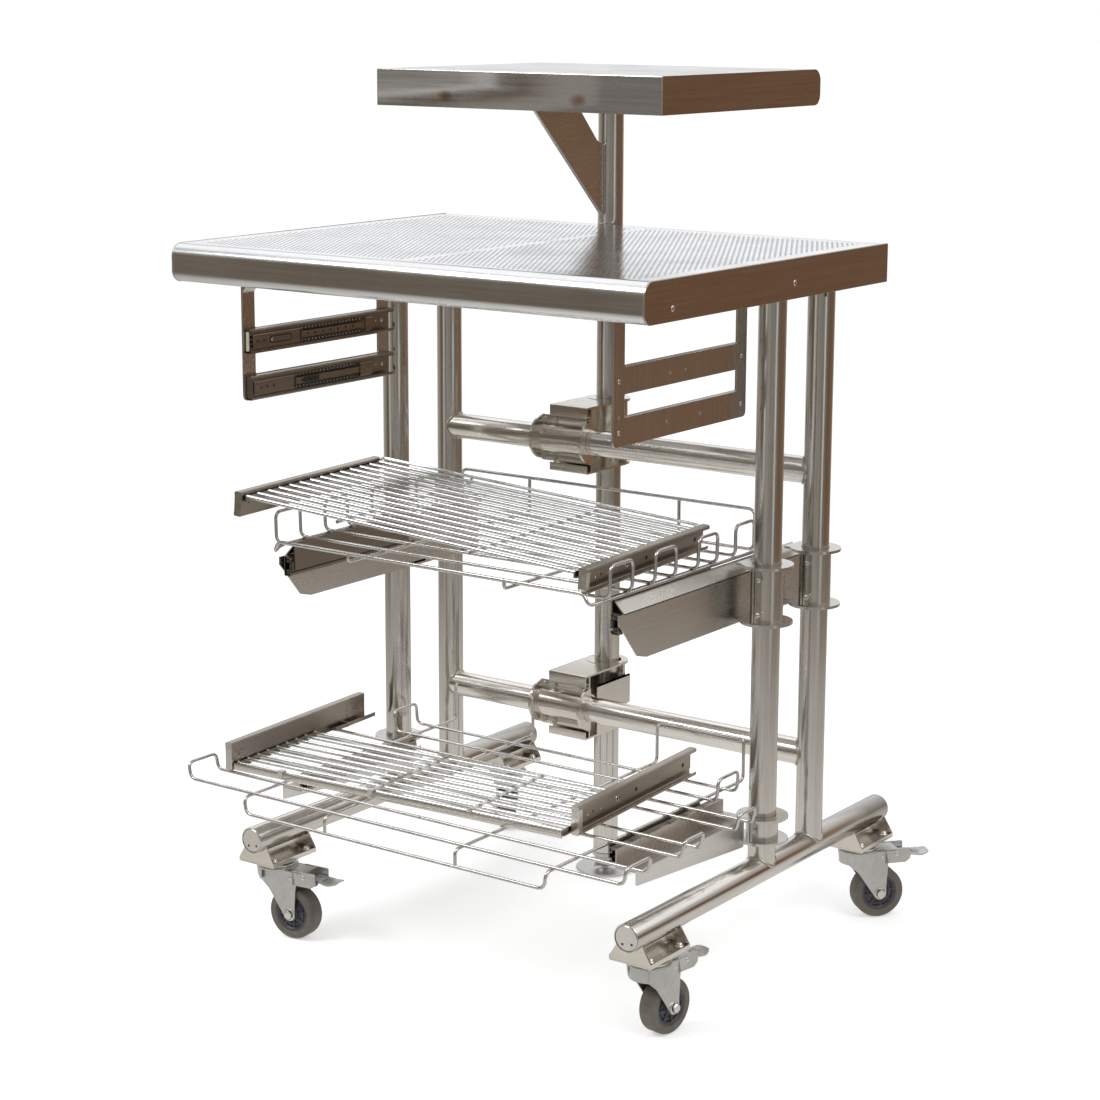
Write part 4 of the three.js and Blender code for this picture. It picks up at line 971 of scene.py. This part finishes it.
def outer_shell(level, place, sign, y, z0, z1, screw_zs):
    part = Shape()
    post_half(part, sign, sign, y, z0, z1)
    make(part, f"{level}_shell_{place}", level + "_arms", [SHELL],
         f"{level}_clamp_shell_{place}")
    part = Shape()
    for z in screw_zs:
        for dy in (-28, 28):
            part.socket((sign * POST_X + sign * 3.6, y + dy, z), (sign, 0, 0), 4.0, 3.2)
    make(part, f"{level}_shell_screws_{place}", level + "_arms", [BRIGHT])


def arm_channel(level, side, sign, face, z, half, y0, y1):
    part = Shape()
    channel(part, sign, face, z, half, y0, y1)
    make(part, f"{level}_channel_{side}", level + "_arms", [SLIDE],
         f"{level}_slide_fixed_{side}")


MID_LOW, MID_HIGH = BASE + 368, BASE + 450  # height range of the middle clamps
MID_X = 300.0  # outer face of the middle arm plates
MID_SLIDE_Z, MID_SLIDE_H = BASE + 419, 14.7


def mid_arm_plate(side, sign):
    part = Shape()
    plate = [(-317, 421), (-309, 412), (-273, 369), (-250, 363), (158, 363), (158, 433),
             (-317, 433)]
    part.prism("x", fillet([(y, BASE + z) for y, z in plate], [0, 2, 6, 8, 2, 0, 0], 4),
               *span(sign, MID_X - 2, MID_X))
    slope = [(2, 431.5), (0, 431.5), (0, 433), (15.5, 449), (16, 447.8)]
    part.prism("y", inward(sign, MID_X, BASE, slope), -304, 158)
    for y in POST_YS:
        post_half(part, sign, -sign, y, MID_LOW, MID_HIGH)
        for z in (MID_LOW, MID_HIGH):
            part.box(*span(sign, MID_X - 2, MID_X + 11), y - 22, y + 22, z - 1.7, z + 1.7)
    for y in (-290, -165, -50):
        start, end = span(sign, MID_X - 4.5, MID_X - 1)
        part.rod((start, y, MID_SLIDE_Z), (end, y, MID_SLIDE_Z), 6, 24)
    make(part, "mid_arm_plate_" + side, "mid_arms", [PLATE], "mid_arm_" + side)


def mid_member(side, sign, face):
    part = Shape()
    z = MID_SLIDE_Z
    member(part, sign, face, z, MID_SLIDE_H, -309, -40)
    part.box(*span(sign, face - 16.4, face - 14), -305, -60, z - 6, BASE + 455)
    cage(part, sign, face, z, MID_SLIDE_H, -306, -150, 1.7, 2)
    # black inserts in the slide's front mouth
    part.mat = 3
    for dz in (-7.4, 7.4):
        part.box(*span(sign, face - 8.6, face - 3.2), -309.6, -302, z + dz - 2.2, z + dz + 2.2)
    part.box(*span(sign, face - 12.8, face - 9.2), -309.8, -304, z - 4.5, z + 4.5)
    make(part, "mid_member_" + side, "mid_carriage",
         [SLIDE, CAGE, BRIGHT, NYLON], "mid_slide_moving_" + side)


for side, sign in SIDES:
    face = MID_X - 4.8
    mid_arm_plate(side, sign)
    arm_channel("mid", side, sign, face, MID_SLIDE_Z, MID_SLIDE_H, -311, -24)
    mid_member(side, sign, face)
    for where, y in zip(("front", "rear"), POST_YS):
        outer_shell("mid", f"{where}_{side}", sign, y, MID_LOW, MID_HIGH,
                    (MID_LOW + 14, MID_HIGH - 17))

LOW_LOW, LOW_HIGH = BASE + 46, BASE + 80  # height range of the bottom clamps
LOW_FACE, LOW_SLIDE_Z, LOW_SLIDE_H = 283.7, BASE + 88, 12.4


def bottom_arm_plate(side, sign):
    part = Shape()
    plate = [(-297, BASE + 55), (-20, BASE + 33), (-20, BASE + 75), (-297, BASE + 75)]
    part.prism("x", fillet(plate, [3, 3, 0, 0], 4), *span(sign, 317, 319))
    part.mat = 1
    part.box(*span(sign, 284, 318.8), -296.8, -24, BASE + 73, BASE + 75.2)
    part.box(*span(sign, 284, 286), -297, -24, BASE + 74, BASE + 100.5)
    part.mat = 0
    part.box(*span(sign, 284, 320), -36, -20.8, BASE + 74, BASE + 81)
    post_half(part, sign, -sign, 0, LOW_LOW, LOW_HIGH)
    make(part, "bottom_arm_plate_" + side, "bottom_arms",
         [ARMPLATE, HANGSHEET], "bottom_arm_" + side)


def bottom_member(side, sign):
    part = Shape()
    member(part, sign, LOW_FACE, LOW_SLIDE_Z, LOW_SLIDE_H, -292, -40)
    part.box(*span(sign, LOW_FACE - 16.6, LOW_FACE - 14.3), -290, -60,
             LOW_SLIDE_Z - 5, BASE + 101)
    cage(part, sign, LOW_FACE, LOW_SLIDE_Z, LOW_SLIDE_H, -289, -170, 1.5, 2)
    make(part, "bottom_member_" + side, "bottom_carriage",
         [SLIDE, CAGE, BRIGHT], "bottom_slide_moving_" + side)


for side, sign in SIDES:
    bottom_arm_plate(side, sign)
    arm_channel("bottom", side, sign, LOW_FACE, LOW_SLIDE_Z, LOW_SLIDE_H, -294, -26)
    bottom_member(side, sign)
    outer_shell("bottom", side, sign, 0, LOW_LOW, LOW_HIGH, [(LOW_LOW + LOW_HIGH) / 2])


# ------------------------------------------------------------------ wire baskets
def hoop(part, y0, y1, x_low, x_high, z_low, z_high, bend, crossings):
    """Two U-shaped wires joined at the rims, welded at crossings to the wires below."""
    for sign in (-1, 1):
        part.wire(bent([(-sign * 1.0, y0, z_low), (sign * x_low, y0, z_low),
                        (sign * x_high, y0, z_high), (sign * x_high, y1, z_high),
                        (sign * x_low, y1, z_low), (-sign * 1.0, y1, z_low)], bend, 7))
    for y in (y0, y1):
        for x in crossings:
            part.nugget(x, y, z_low - 2)


part = Shape()
floor_z = BASE + 454
front, back = -353.0, 78
front_z, back_z = BASE + 466, BASE + 508
# y of both wires, half width at the floor and at the rim
for y0, y1, x_low, x_high in ((-329, -276, 293, 294), (-221, -170, 293, 294),
                              (-113, -64, 293, 294), (-10, 40, 290, 290)):
    hoop(part, y0, y1, x_low, x_high, floor_z + 4, BASE + 502, 11, (-287, -137, 137, 287))
part.wire(bent([(-287, 62, floor_z), (-287, -326, floor_z), (-276, front, floor_z - 4),
                (-268, front, front_z), (268, front, front_z), (276, front, floor_z - 4),
                (287, -326, floor_z), (287, 62, floor_z)], 12, 7))
part.wire(bent([(-287, 60, floor_z), (-268, back, floor_z), (-268, back, back_z),
                (268, back, back_z), (268, back, floor_z), (287, 60, floor_z)], 12, 7))
for x in (-137, 137):
    part.wire(bent([(x, front, front_z), (x, front, floor_z), (x, back, floor_z),
                    (x, back, back_z)], 9, 7))
    part.nugget(x, front, front_z, (0, 1, 0))
    part.nugget(x, back, back_z, (0, 1, 0))
make(part, "mid_basket_wires", "mid_carriage", [WIRE], "mid_basket", sharp=50)

part = Shape()
floor_z = BASE + 104
front, back = -435.9, 59.0
front_z, back_z = BASE + 80, BASE + 167
# y of both wires, half width at the floor and at the rim, rim height, bend radius
for y0, y1, x_low, x_high, rim, bend in (
        (-424, -366, 384, 388, 131, 10), (-290, -243, 386, 391, 131, 7),
        (-151, -109, 386, 391, 131, 7), (-58, -4, 296, 298, 140, 11)):
    hoop(part, y0, y1, x_low, x_high, floor_z + 4, BASE + rim, bend, (-268, -116, 116, 268))
part.wire(bent([(-268, back - 20, floor_z), (-268, front, floor_z), (-265, front, front_z),
                (265, front, front_z), (268, front, floor_z), (268, back - 20, floor_z)],
               11, 7))
for sign in (-1, 1):
    x, outer = sign * 116, sign * 268
    part.wire(bent([(x, front, front_z + 0.5), (x, front, floor_z), (x, back - 20, floor_z)],
                   9, 7))
    part.nugget(x, front, front_z, (0, 1, 0))
    part.wire(bent([(x, back - 22, floor_z), (x, back, floor_z), (x, back, back_z),
                    (outer, back, back_z), (outer, back, floor_z),
                    (outer, back - 22, floor_z)], 10, 7))
make(part, "bottom_basket_wires", "bottom_carriage", [WIRE], "bottom_basket",
     sharp=50)


# ------------------------------------------------------------------ racks
# A rack lies in its own frame: x from its middle, y from its front, z from its rails' foot.
def rack_rail(part, sign, half, start, length, height, grid_z, grid):
    """A drawer-slide rail: flat web inwards, rolled raceways outwards."""
    # (depth in from the outer face, z)
    section = [
        (12.7, 1.2), (11.5, 0), (1.6, 0), (0, 1.6), (0, 5.5), (1.4, 5.5), (1.4, 2.2), (2.2, 1.4),
        (10.4, 1.4), (11.2, 2.4), (11.2, 8.4), (10.0, 9.8), (10.0, height - 11.4),
        (11.2, height - 10), (11.2, height - 2.4), (10.4, height - 1.4), (2.2, height - 1.4),
        (1.4, height - 2.2), (1.4, height - 5.5), (0, height - 5.5), (0, height - 1.6),
        (1.6, height), (11.5, height), (12.7, height - 1.2)]
    part.mat = 0
    part.prism("y", inward(sign, half, 0, section), start, start + length)
    # end tab bent across the rail's front mouth
    part.mat = 1
    part.prism("y", inward(sign, half, 0, rect(12.4, 0.6, 0.4, height - 0.4, 1.4, 3)),
               start - 0.1, start + 1.5)
    if sign > 0:
        part.prism("x", fillet([(start, 4), (start + 9, 4), (start + 9, height - 5),
                                (start, height - 1)], [0, 2, 2, 0], 3), half - 1.5, half - 0.3)
    # edge angle that carries the wire ends
    part.mat = 0
    part.box(*span(sign, half - 17, half - 12.3), 6, grid - 6, grid_z - 7, grid_z - 4.8)
    part.box(*span(sign, half - 17, half - 15.4), 6, grid - 6, grid_z - 5.6, grid_z + 1.6)
    # dark holes on the raceway side and inside, discs of painted shade, as (share of the length,
    # radius)
    part.mat = 3
    web_x = sign * (half - 10.0)
    for share, radius in ((0.16, 1.7), (0.36, 3.6), (0.38, 1.2), (0.52, 3.0), (0.93, 3.0)):
        part.disc((web_x, start + length * share, height * 0.47), (sign, 0, 0),
                  radius, -0.2, 0.3, 18)
    for share, radius in ((0.05, 1.2), (0.955, 2.6), (0.905, 1.4)):
        part.disc((sign * (half - 12.7), start + length * share, height * 0.52), (-sign, 0, 0),
                  radius, -0.2, 0.3, 18)
    part.mat = 1
    part.lathe([(2.2, 0), (4.6, 0), (4.2, 0.5), (2.6, 0.5), (2.2, 0)],
               (web_x, start + length * 0.36, height * 0.47), (sign, 0, 0), 20)
    for share, radius, rise in ((0.12, 2.4, 1.0), (0.22, 1.8, 0.8)):
        part.dome((sign * (half - 10.1), start + length * share, height * 0.42), (sign, 0, 0),
                  radius, rise, 14)
    # thickened rear end of the web
    part.mat = 0
    part.prism("x", rect(start + length - 46, start + length - 1, 11, height - 9, 1.5, 3),
               *span(sign, half - 13.1, half - 12.5))


def rack(part, width, length, height, grid_z, grid, wires, shift, cross, flat):
    """Two rails with a wire grid; the right-hand rail sits further back by shift."""
    half = width / 2
    wire_ys = [10 + (grid - 22) * i / (wires - 1) for i in range(wires)]
    for sign in (-1, 1):
        start = shift if sign > 0 else 0
        rack_rail(part, sign, half, start, length, height, grid_z, grid)
        if sign < 0 and flat:
            # low inner strip that runs on past the left-hand rail
            strip = [(22, 2), (12.6, 2), (12.6, 3.4), (20.6, 3.4), (20.6, 8), (22, 8)]
            part.prism("y", inward(sign, half, 0, strip), grid + 34, start + length + 16)
            part.box(*span(sign, half - 22.4, half - 13), grid + 62, grid + 68, 1.6, 9.4)
    part.mat = 2
    for y in wire_ys:
        part.wire([(-half + 15.5, y, grid_z), (half - 15.5, y, grid_z)], 2.9, 16)
    for x in cross:
        part.wire([(x, 4, grid_z - 4.6), (x, grid - 8, grid_z - 4.6)], 2.6, 12)
        for y in wire_ys:
            part.nugget(x, y, grid_z - 2.3)
    if flat:
        flat_fittings(part, half, grid_z, grid, wire_ys)
    else:
        backstop(part, half, grid_z, height - 2, grid + 2)


def flat_fittings(part, half, grid_z, grid, wire_ys):
    """Front bar, bearer strips with a lug at every wire, end lugs and front clips."""
    part.mat = 1
    part.prism("x", rect(2, 4.2, grid_z - 9, grid_z + 1.6, 0.5, 2), -half + 14, half - 14)
    for x in (-half * 0.12, half * 0.44):
        part.box(x - 3.2, x + 3.2, 4, grid - 6, grid_z + 2.6, grid_z + 3.6)
        for y in wire_ys:
            part.lathe([(0, 0), (2.6, 0), (2.6, 0.9), (1.8, 1.4), (0, 1.4)],
                       (x, y, grid_z + 3.4), (0, 0, 1), 12)
    for y in wire_ys:
        for sign in (-1, 1):
            part.lathe([(0, -0.4), (2.4, -0.4), (2.4, 0.8), (1.6, 1.3), (0, 1.3)],
                       (sign * (half - 16.2), y, grid_z + 2.2), (0, 0, 1), 12)
    clip = [(0.4, -8), (5.0, -8), (5.0, 3.4), (9.0, 3.4), (9.0, 4.8), (0.4, 4.8)]
    for x in (-half * 0.66, -36):
        part.prism("x", [(y, grid_z + z) for y, z in clip], x - 4, x + 4)


def backstop(part, half, grid_z, top, back):
    """A raised wire between the rails at the back, with two uprights."""
    part.wire(bent([(-half + 14.5, back - 14, top - 1), (-half + 15, back - 3, top),
                    (half - 15, back - 3, top), (half - 14.5, back - 14, top - 1)], 5, 6),
              2.4, 10)
    for x in (-half * 0.38, half * 0.38):
        part.wire([(x, back - 13, grid_z), (x, back - 3, top)], 2.0, 8)


def placed(x, y, z, yaw, roll):
    return (Matrix.Translation((x, y, z)) @ Matrix.Rotation(math.radians(yaw), 4, "Z")
            @ Matrix.Rotation(math.radians(roll), 4, "Y"))


RACK_MATS = [RAIL, BRIGHT, RACKWIRE, HOLE_SHADE]
part = Shape(placed(-22, -379, BASE + 484.3, yaw=3.6, roll=4.3))
rack(part, width=584, length=335, height=36.0, grid_z=29, grid=342, wires=14, shift=12,
     cross=(-112, 112), flat=False)
make(part, "mid_rack_wires", "mid_rack_body", RACK_MATS, "mid_rack")
part = Shape(placed(-64.5, -354, BASE + 112, yaw=3.45, roll=0))
rack(part, width=599, length=327, height=42.0, grid_z=10, grid=206, wires=9, shift=26,
     cross=(), flat=True)
make(part, "bottom_rack_wires", "bottom_rack_body", RACK_MATS, "bottom_rack")

# ------------------------------------------------------------------ castors
# Built about the base tube's centre; forks trail along their own +X before they are turned.
TRAIL, WHEEL_R, WHEEL_W = 32.0, 40.0, 28.0
AXLE_Z = WHEEL_R - BASE
AXLE = (TRAIL, 0, AXLE_Z)
HUB = (0, 0, 0)


def saddle(corner, tf):
    part = Shape(tf)
    # end cheeks coped round the tube
    bore = TUBE_R + 0.4
    lean = math.degrees(math.asin(9 / bore))
    cheek = ([(-34, -38), (34, -38), (34, -34), (18.4, -9)]
             + arc(0, 0, bore, -lean, -180 + lean, 24) + [(-18.4, -9), (-34, -34)])
    for y0, y1 in ((-48.4, -45.9), (45.9, 48.4)):
        part.prism("y", cheek, y0, y1)
    # base plate with turned-up long edges
    plate = [(-34.3, -40.5), (34.3, -40.5), (34.3, -33), (32.6, -33), (32.6, -38.3),
             (-32.6, -38.3), (-32.6, -33), (-34.3, -33)]
    part.prism("y", fillet(plate, [2, 2, 0, 0, 1, 1, 0, 0], 3), -48.2, 48.2)
    # inner ribs that carry the tube
    for x0, x1 in ((-12.5, -10.3), (10.3, 12.5)):
        part.box(x0, x1, -46, 46, -39, -17.2)
    make(part, "saddle_" + corner, "frame", [CLAMP], "castor_saddle_" + corner)


def saddle_nuts(corner, tf):
    part = Shape(tf)
    part.lathe([(0, -46), (26.2, -46), (27, -45.2), (27, -41), (25.5, -40.4), (0, -40.4)],
               HUB, (0, 0, 1), 48)
    # acorn nuts above the plate and screw heads beneath it
    nut = [(0, -38.4), (6, -38.4), (6, -33.6), (5, -32.6),
           *bulge(4.9, 4.2, -32.6, (20, 40, 60, 75)), (0, -28.4)]
    head = [(0, -44.0), (3.0, -43.6), (5.6, -42.0), (6, -40.4), (0, -40.4)]
    for x in (-25, 25):
        for y in (-36, 36):
            part.lathe(nut, (x, y, 0), (0, 0, 1), 18)
            part.lathe(head, (x, y, 0), (0, 0, 1), 18)
    make(part, "saddle_nuts_" + corner, "frame", [BRIGHT])


def fork(corner, tf):
    part = Shape(tf)
    # swivel head with its raceway ring, then a pressed crown
    part.mat = 1
    part.lathe([(0, -46.4), (25, -46.4), (27.6, -47.2), (28.6, -48.6), (27.8, -50), (0, -50)],
               HUB, (0, 0, 1), 48)
    part.mat = 0
    part.lathe([(0, -49.6), (29, -49.6), (31, -50.6), (31.4, -52.4), (30.6, -54.2), (29, -55),
                (0, -55)], HUB, (0, 0, 1), 48)
    part.prism("z", rect(-22, 60, -18.5, 18.5, [10, 4, 4, 10], 4), -54.5, -52)
    leg = [(-27, -52), (40, -52), (44, -72), (41.6, -112), *arc(TRAIL, AXLE_Z, 10, 14, -150, 10),
           (-5, -86), (-24, -70)]
    leg = fillet(leg, [2, 4, 8, 0] + [0] * 11 + [6, 10], 4)
    cheek = fillet([(38, -51), (80, -51), (80, -68), (72, -74), (38, -74)], [0, 3, 4, 3, 0], 3)
    for sign in (-1, 1):
        part.prism("y", leg, *span(sign, 16, 18.5))
        part.prism("y", cheek, *span(sign, 16, 18.5))
    part.prism("z", arc(0, 0, 29, 122, 238, 16) + arc(0, 0, 26.8, 238, 122, 16), -72, -52)
    # axle with a hexagon head on the -Y side and a domed cap on the +Y side
    part.mat = 1
    part.rod((TRAIL, -22, AXLE_Z), (TRAIL, 22, AXLE_Z), 4, 24)
    head = [(0, 19.4), (7, 19.4), (7, 23.2), (5.8, 24.2), (0, 24.2)]
    cap = [(0, 19.4), (7, 19.4), (7, 23.4), (5.6, 24.4),
           *bulge(4.6, 3.0, 24.4, (0, 25, 50, 72)), (0, 27.4)]
    for sign, end, sides in ((-1, head, 6), (1, cap, 18)):
        part.lathe([(0, 18.4), (9, 18.4), (9, 19.3), (7.6, 19.6)], AXLE, (0, sign, 0), 24)
        part.lathe(end, AXLE, (0, sign, 0), sides)
        part.dome((58, sign * 18.4, -60), (0, sign, 0), 3.6, 1.5, 14)
        part.dome((34, sign * 18.4, -64), (0, sign, 0), 2.6, 1.0, 14)
    make(part, "fork_" + corner, f"castor_fork_{corner}_body", [ZINC, BRIGHT],
         "castor_fork_" + corner, bevel=0.45)


def wheel(corner, tf):
    part = Shape(tf)
    half, shoulder = WHEEL_W / 2, 5.4
    tyre = [(27.5, -half + 1.2), (29, -half), (34.5, -half),
            *arc(34.6, -half + shoulder, shoulder, -90, 0, 6), (WHEEL_R, 0),
            *arc(34.6, half - shoulder, shoulder, 0, 90, 6),
            (29, half), (27.5, half - 1.2), (27.5, -half + 1.2)]
    part.lathe(tyre, AXLE, (0, 1, 0), 72)
    part.mat = 1
    web = [(5.2, -15), (10, -15), (11, -14.2), (11.6, -10.2), (13.5, -8.6), (16, -8.2),
           (16.6, -9.6), (19, -9.6), (19.6, -8.2), (22, -8.2), (22.6, -10.4), (25, -12.4),
           (27.6, -12.6)]
    part.lathe(web + flipped(web) + web[:1], AXLE, (0, 1, 0), 60)
    # ribs on both faces of the core
    for i in range(8):
        angle = math.radians(45 * i + 10)
        cos, sin = math.cos(angle), math.sin(angle)
        rib = [(TRAIL + radius * cos - off * sin, AXLE_Z + radius * sin + off * cos)
               for radius, off in ((11, -1.2), (26.5, -1.2), (26.5, 1.2), (11, 1.2))]
        for sign in (-1, 1):
            part.prism("y", rib, *span(sign, 8.0, 10.6))
    make(part, "wheel_" + corner, f"castor_wheel_{corner}_body", [TYRE, CORE],
         "castor_wheel_" + corner)


def pedal(corner, tf):
    """A pressed pedal: flat root, flared and tapered tip, folded sides."""
    part = Shape(tf)
    rows, cells = 12, 6
    verts, faces = [], []
    for i in range(rows + 1):
        t = i / rows
        half, z = 13.6, -61.2
        if t >= 0.45:
            flare = (t - 0.45) / 0.55
            half = 13.6 + 4.2 * math.sin(flare * math.pi * 0.55) - 7.5 * flare ** 3
            z = -61.2 - 2.2 * math.sin(flare * math.pi) + 1.2 * flare
        # a crowned upper and lower face
        for drop in (1.0, 3.4):
            for j in range(cells + 1):
                u = -1 + 2 * j / cells
                verts.append((62 + 51 * t, u * half, z + 1.2 * (1 - u * u) - drop))
    low = cells + 1
    row = 2 * low
    for i in range(rows):
        here, there = i * row, (i + 1) * row
        for j in range(cells):
            faces.append([here + j, here + j + 1, there + j + 1, there + j])
            faces.append([here + low + j, there + low + j, there + low + j + 1,
                          here + low + j + 1])
        faces.append([here, there, there + low, here + low])
        faces.append([here + cells, here + low + cells, there + low + cells, there + cells])
    for end in (0, rows * row):
        for j in range(cells):
            faces.append([end + j, end + low + j, end + low + j + 1, end + j + 1])
    part.add(verts, faces)
    fold = fillet([(62, -61.5), (84, -61.5), (80, -70), (72, -73), (62, -73)],
                  [0, 0, 3, 3, 2], 3)
    for sign in (-1, 1):
        part.prism("y", fold, *span(sign, 11.4, 13.8))
    # three ridges across the top
    part.mat = 1
    for x in (88, 92.5, 97):
        part.wire([(x, -9, -60.6), (x, 9, -60.6)], 0.7, 8)
    make(part, "pedal_" + corner, f"castor_pedal_{corner}_body", [ZINC, ZINC],
         "castor_pedal_" + corner)


# corner, side, y, fork's turn in degrees
for corner, sign, y, turn in (("front_left", -1, -290.0, 6), ("front_right", 1, -290.0, 82),
                              ("rear_left", -1, 289.5, 130), ("rear_right", 1, 289.5, 50)):
    mount = Matrix.Translation((sign * POST_X, y, BASE))
    turned = mount @ Matrix.Rotation(math.radians(turn), 4, "Z")
    saddle(corner, mount)
    saddle_nuts(corner, mount)
    fork(corner, turned)
    wheel(corner, turned)
    pedal(corner, turned)

# ------------------------------------------------------------------ floor
# Metres from here on. Reflections see a separate glowing floor, a painted pool of light that
# darkens and fades with distance.
floor_mesh = bpy.data.meshes.new("floor")
work = bmesh.new()
bmesh.ops.create_grid(work, x_segments=2, y_segments=2, size=60)
work.to_mesh(floor_mesh)
work.free()
floor = bpy.data.objects.new("floor", floor_mesh)
bpy.context.scene.collection.objects.link(floor)
floor.location.z = -0.0006

floor_mat = bpy.data.materials.new("studio_floor")
graph = Graph(floor_mat)
diffuse = graph.node("BsdfDiffuse", {0: (0.86, 0.86, 0.855, 1)})[0]
glow = graph.node("Emission", {"Color": (1, 1, 1, 1), "Strength": 0.42})[0]
lit = graph.node("AddShader", {0: diffuse, 1: glow})[0]
length = graph.node("VectorMath", {0: graph.node("NewGeometry")["Position"]},
                    operation="LENGTH")["Value"]
distance = graph.calc("DIVIDE", length, 6.0)
mirrored = graph.node("Emission", {0: graph.ramp(
    distance, (0.0, (0.80, 0.785, 0.755)), (0.14, (0.74, 0.725, 0.69)),
    (0.26, (0.52, 0.50, 0.465)), (0.42, (0.34, 0.315, 0.285)), (0.62, (0.26, 0.235, 0.205)))})[0]
faded = graph.node("MixShader", {0: graph.ramp(distance, (0.30, 0.0), (0.55, 1.0)), 1: mirrored,
                                 2: graph.node("BsdfTransparent")[0]})[0]
seen = graph.node("MixShader", {0: graph.node("LightPath")["Is Glossy Ray"], 1: lit, 2: faded})[0]
graph.node("OutputMaterial", {0: seen})
floor_mesh.materials.append(floor_mat)

# ------------------------------------------------------------------ world
# The camera sees white, diffuse light is even, and reflections see a painted studio.
world = bpy.data.worlds.new("studio")
bpy.context.scene.world = world
sky = Graph(world)
direction = sky.node("SeparateXYZ", {0: sky.node("TexCoord")["Generated"]})
azimuth = sky.calc("ARCTAN2", direction["Y"], direction["X"])
turn = sky.calc("ADD", sky.calc("DIVIDE", azimuth, 2 * math.pi), 0.5)
elevation = sky.calc("ARCSINE", direction["Z"])
height = sky.calc("DIVIDE", elevation, 1.5708)

# colours round the horizon, by azimuth in degrees from +X
HORIZON = (
    (-180, (0.42, 0.39, 0.35)), (-150, (0.34, 0.31, 0.27)), (-136, (0.15, 0.12, 0.09)),
    (-116, (0.14, 0.115, 0.085)), (-111, (0.70, 0.69, 0.66)), (-104, (0.66, 0.65, 0.62)),
    (-98, (0.33, 0.315, 0.29)), (-78, (0.36, 0.345, 0.315)), (-64, (0.27, 0.255, 0.225)),
    (-52, (0.31, 0.295, 0.265)), (-34, (0.22, 0.20, 0.17)), (-26, (0.28, 0.27, 0.25)),
    (-22, (0.90, 0.90, 0.87)), (-17, (0.85, 0.85, 0.82)), (-12, (0.22, 0.185, 0.15)),
    (10, (0.17, 0.125, 0.09)), (56, (0.22, 0.125, 0.072)), (80, (0.30, 0.22, 0.16)),
    (96, (0.75, 0.745, 0.73)), (112, (1.05, 1.06, 1.08)), (140, (1.08, 1.10, 1.13)),
    (162, (0.65, 0.63, 0.60)), (179.9, (0.42, 0.39, 0.35)))
# colours from the horizon (0) to straight up (1), for the room and for the wall in front
OVERHEAD = (
    (0.0, (0.60, 0.59, 0.57)), (0.16, (0.85, 0.86, 0.87)), (0.30, (0.62, 0.60, 0.57)),
    (0.40, (1.25, 1.25, 1.27)), (0.62, (1.3, 1.3, 1.32)), (0.72, (0.85, 0.84, 0.82)),
    (1.0, (0.95, 0.95, 0.96)))
FRONT_WALL = (
    (0.0, (0.22, 0.205, 0.185)), (0.16, (0.27, 0.26, 0.245)), (0.30, (0.46, 0.455, 0.45)),
    (0.38, (0.36, 0.355, 0.35)), (0.50, (0.56, 0.555, 0.55)), (0.60, (0.80, 0.80, 0.80)),
    (0.75, (0.92, 0.92, 0.92)), (1.0, (0.95, 0.95, 0.96)))
horizon = sky.ramp(turn, *(((degrees + 180) / 360, colour) for degrees, colour in HORIZON))
ahead = sky.ramp(sky.calc("MULTIPLY", direction["Y"], -1.0), (0.02, 0.0), (0.30, 1.0))
overhead = sky.mix(ahead, sky.ramp(height, *OVERHEAD), sky.ramp(height, *FRONT_WALL))
lift = sky.around(elevation, centre=0.14, gain=3.2, clamp=True)


def background(colour, strength):
    return sky.node("Background", {"Color": colour, "Strength": strength})[0]


rays = sky.node("LightPath")
unseen = sky.node("MixShader", {0: rays["Is Glossy Ray"],
                                1: background((0.97, 0.98, 1.0, 1), strength=0.72),
                                2: background(sky.mix(lift, horizon, overhead), strength=1.0)})[0]
studio = sky.node("MixShader", {0: rays["Is Camera Ray"], 1: unseen,
                                2: background((1, 1, 1, 1), strength=1.0)})[0]
sky.node("OutputWorld", {0: studio})


# ------------------------------------------------------------------ lights and camera
def softbox(name, place, aim, size, power):
    light = bpy.data.lights.new(name, "AREA")
    light.shape = "RECTANGLE"
    light.size, light.size_y = size
    light.energy = power
    light.color = (1.0, 0.99, 0.97)
    obj = bpy.data.objects.new(name, light)
    bpy.context.scene.collection.objects.link(obj)
    obj.location = place
    obj.rotation_mode = "QUATERNION"
    obj.rotation_quaternion = (Vector(aim) - Vector(place)).to_track_quat("-Z", "Y")


softbox("key", place=(-1.6, -2.6, 3.3), aim=(0, 0, 0.6), size=(2.0, 1.4), power=60)
softbox("fill", place=(2.6, -0.6, 2.9), aim=(0, 0, 0.5), size=(1.2, 1.2), power=22)

lens = bpy.data.cameras.new("camera")
camera = bpy.data.objects.new("camera", lens)
bpy.context.scene.collection.objects.link(camera)
bpy.context.scene.camera = camera
# turned left of +Y, tipped down, and rolled
yaw, pitch, roll = math.radians(35.5), math.radians(11.62), math.radians(0.25)
forward = Vector((-math.sin(yaw) * math.cos(pitch), math.cos(yaw) * math.cos(pitch),
                  -math.sin(pitch)))
right = Vector((math.cos(yaw), math.sin(yaw), 0))
up = right.cross(forward)
rolled_right = right * math.cos(roll) + up * math.sin(roll)
rolled_up = up * math.cos(roll) - right * math.sin(roll)
camera.rotation_mode = "QUATERNION"
camera.rotation_quaternion = Matrix(
    (rolled_right, rolled_up, -forward)).transposed().to_quaternion()
camera.location = (2.132, -3.011, 1.2466 + BASE * MM)
lens.sensor_width = 36
lens.lens = 83.00487273
lens.shift_x = -0.01293636364
lens.shift_y = -0.0369
lens.clip_start, lens.clip_end = 0.05, 200

bpy.context.scene.view_settings.view_transform = "Standard"
bpy.context.scene.view_settings.look = "None"
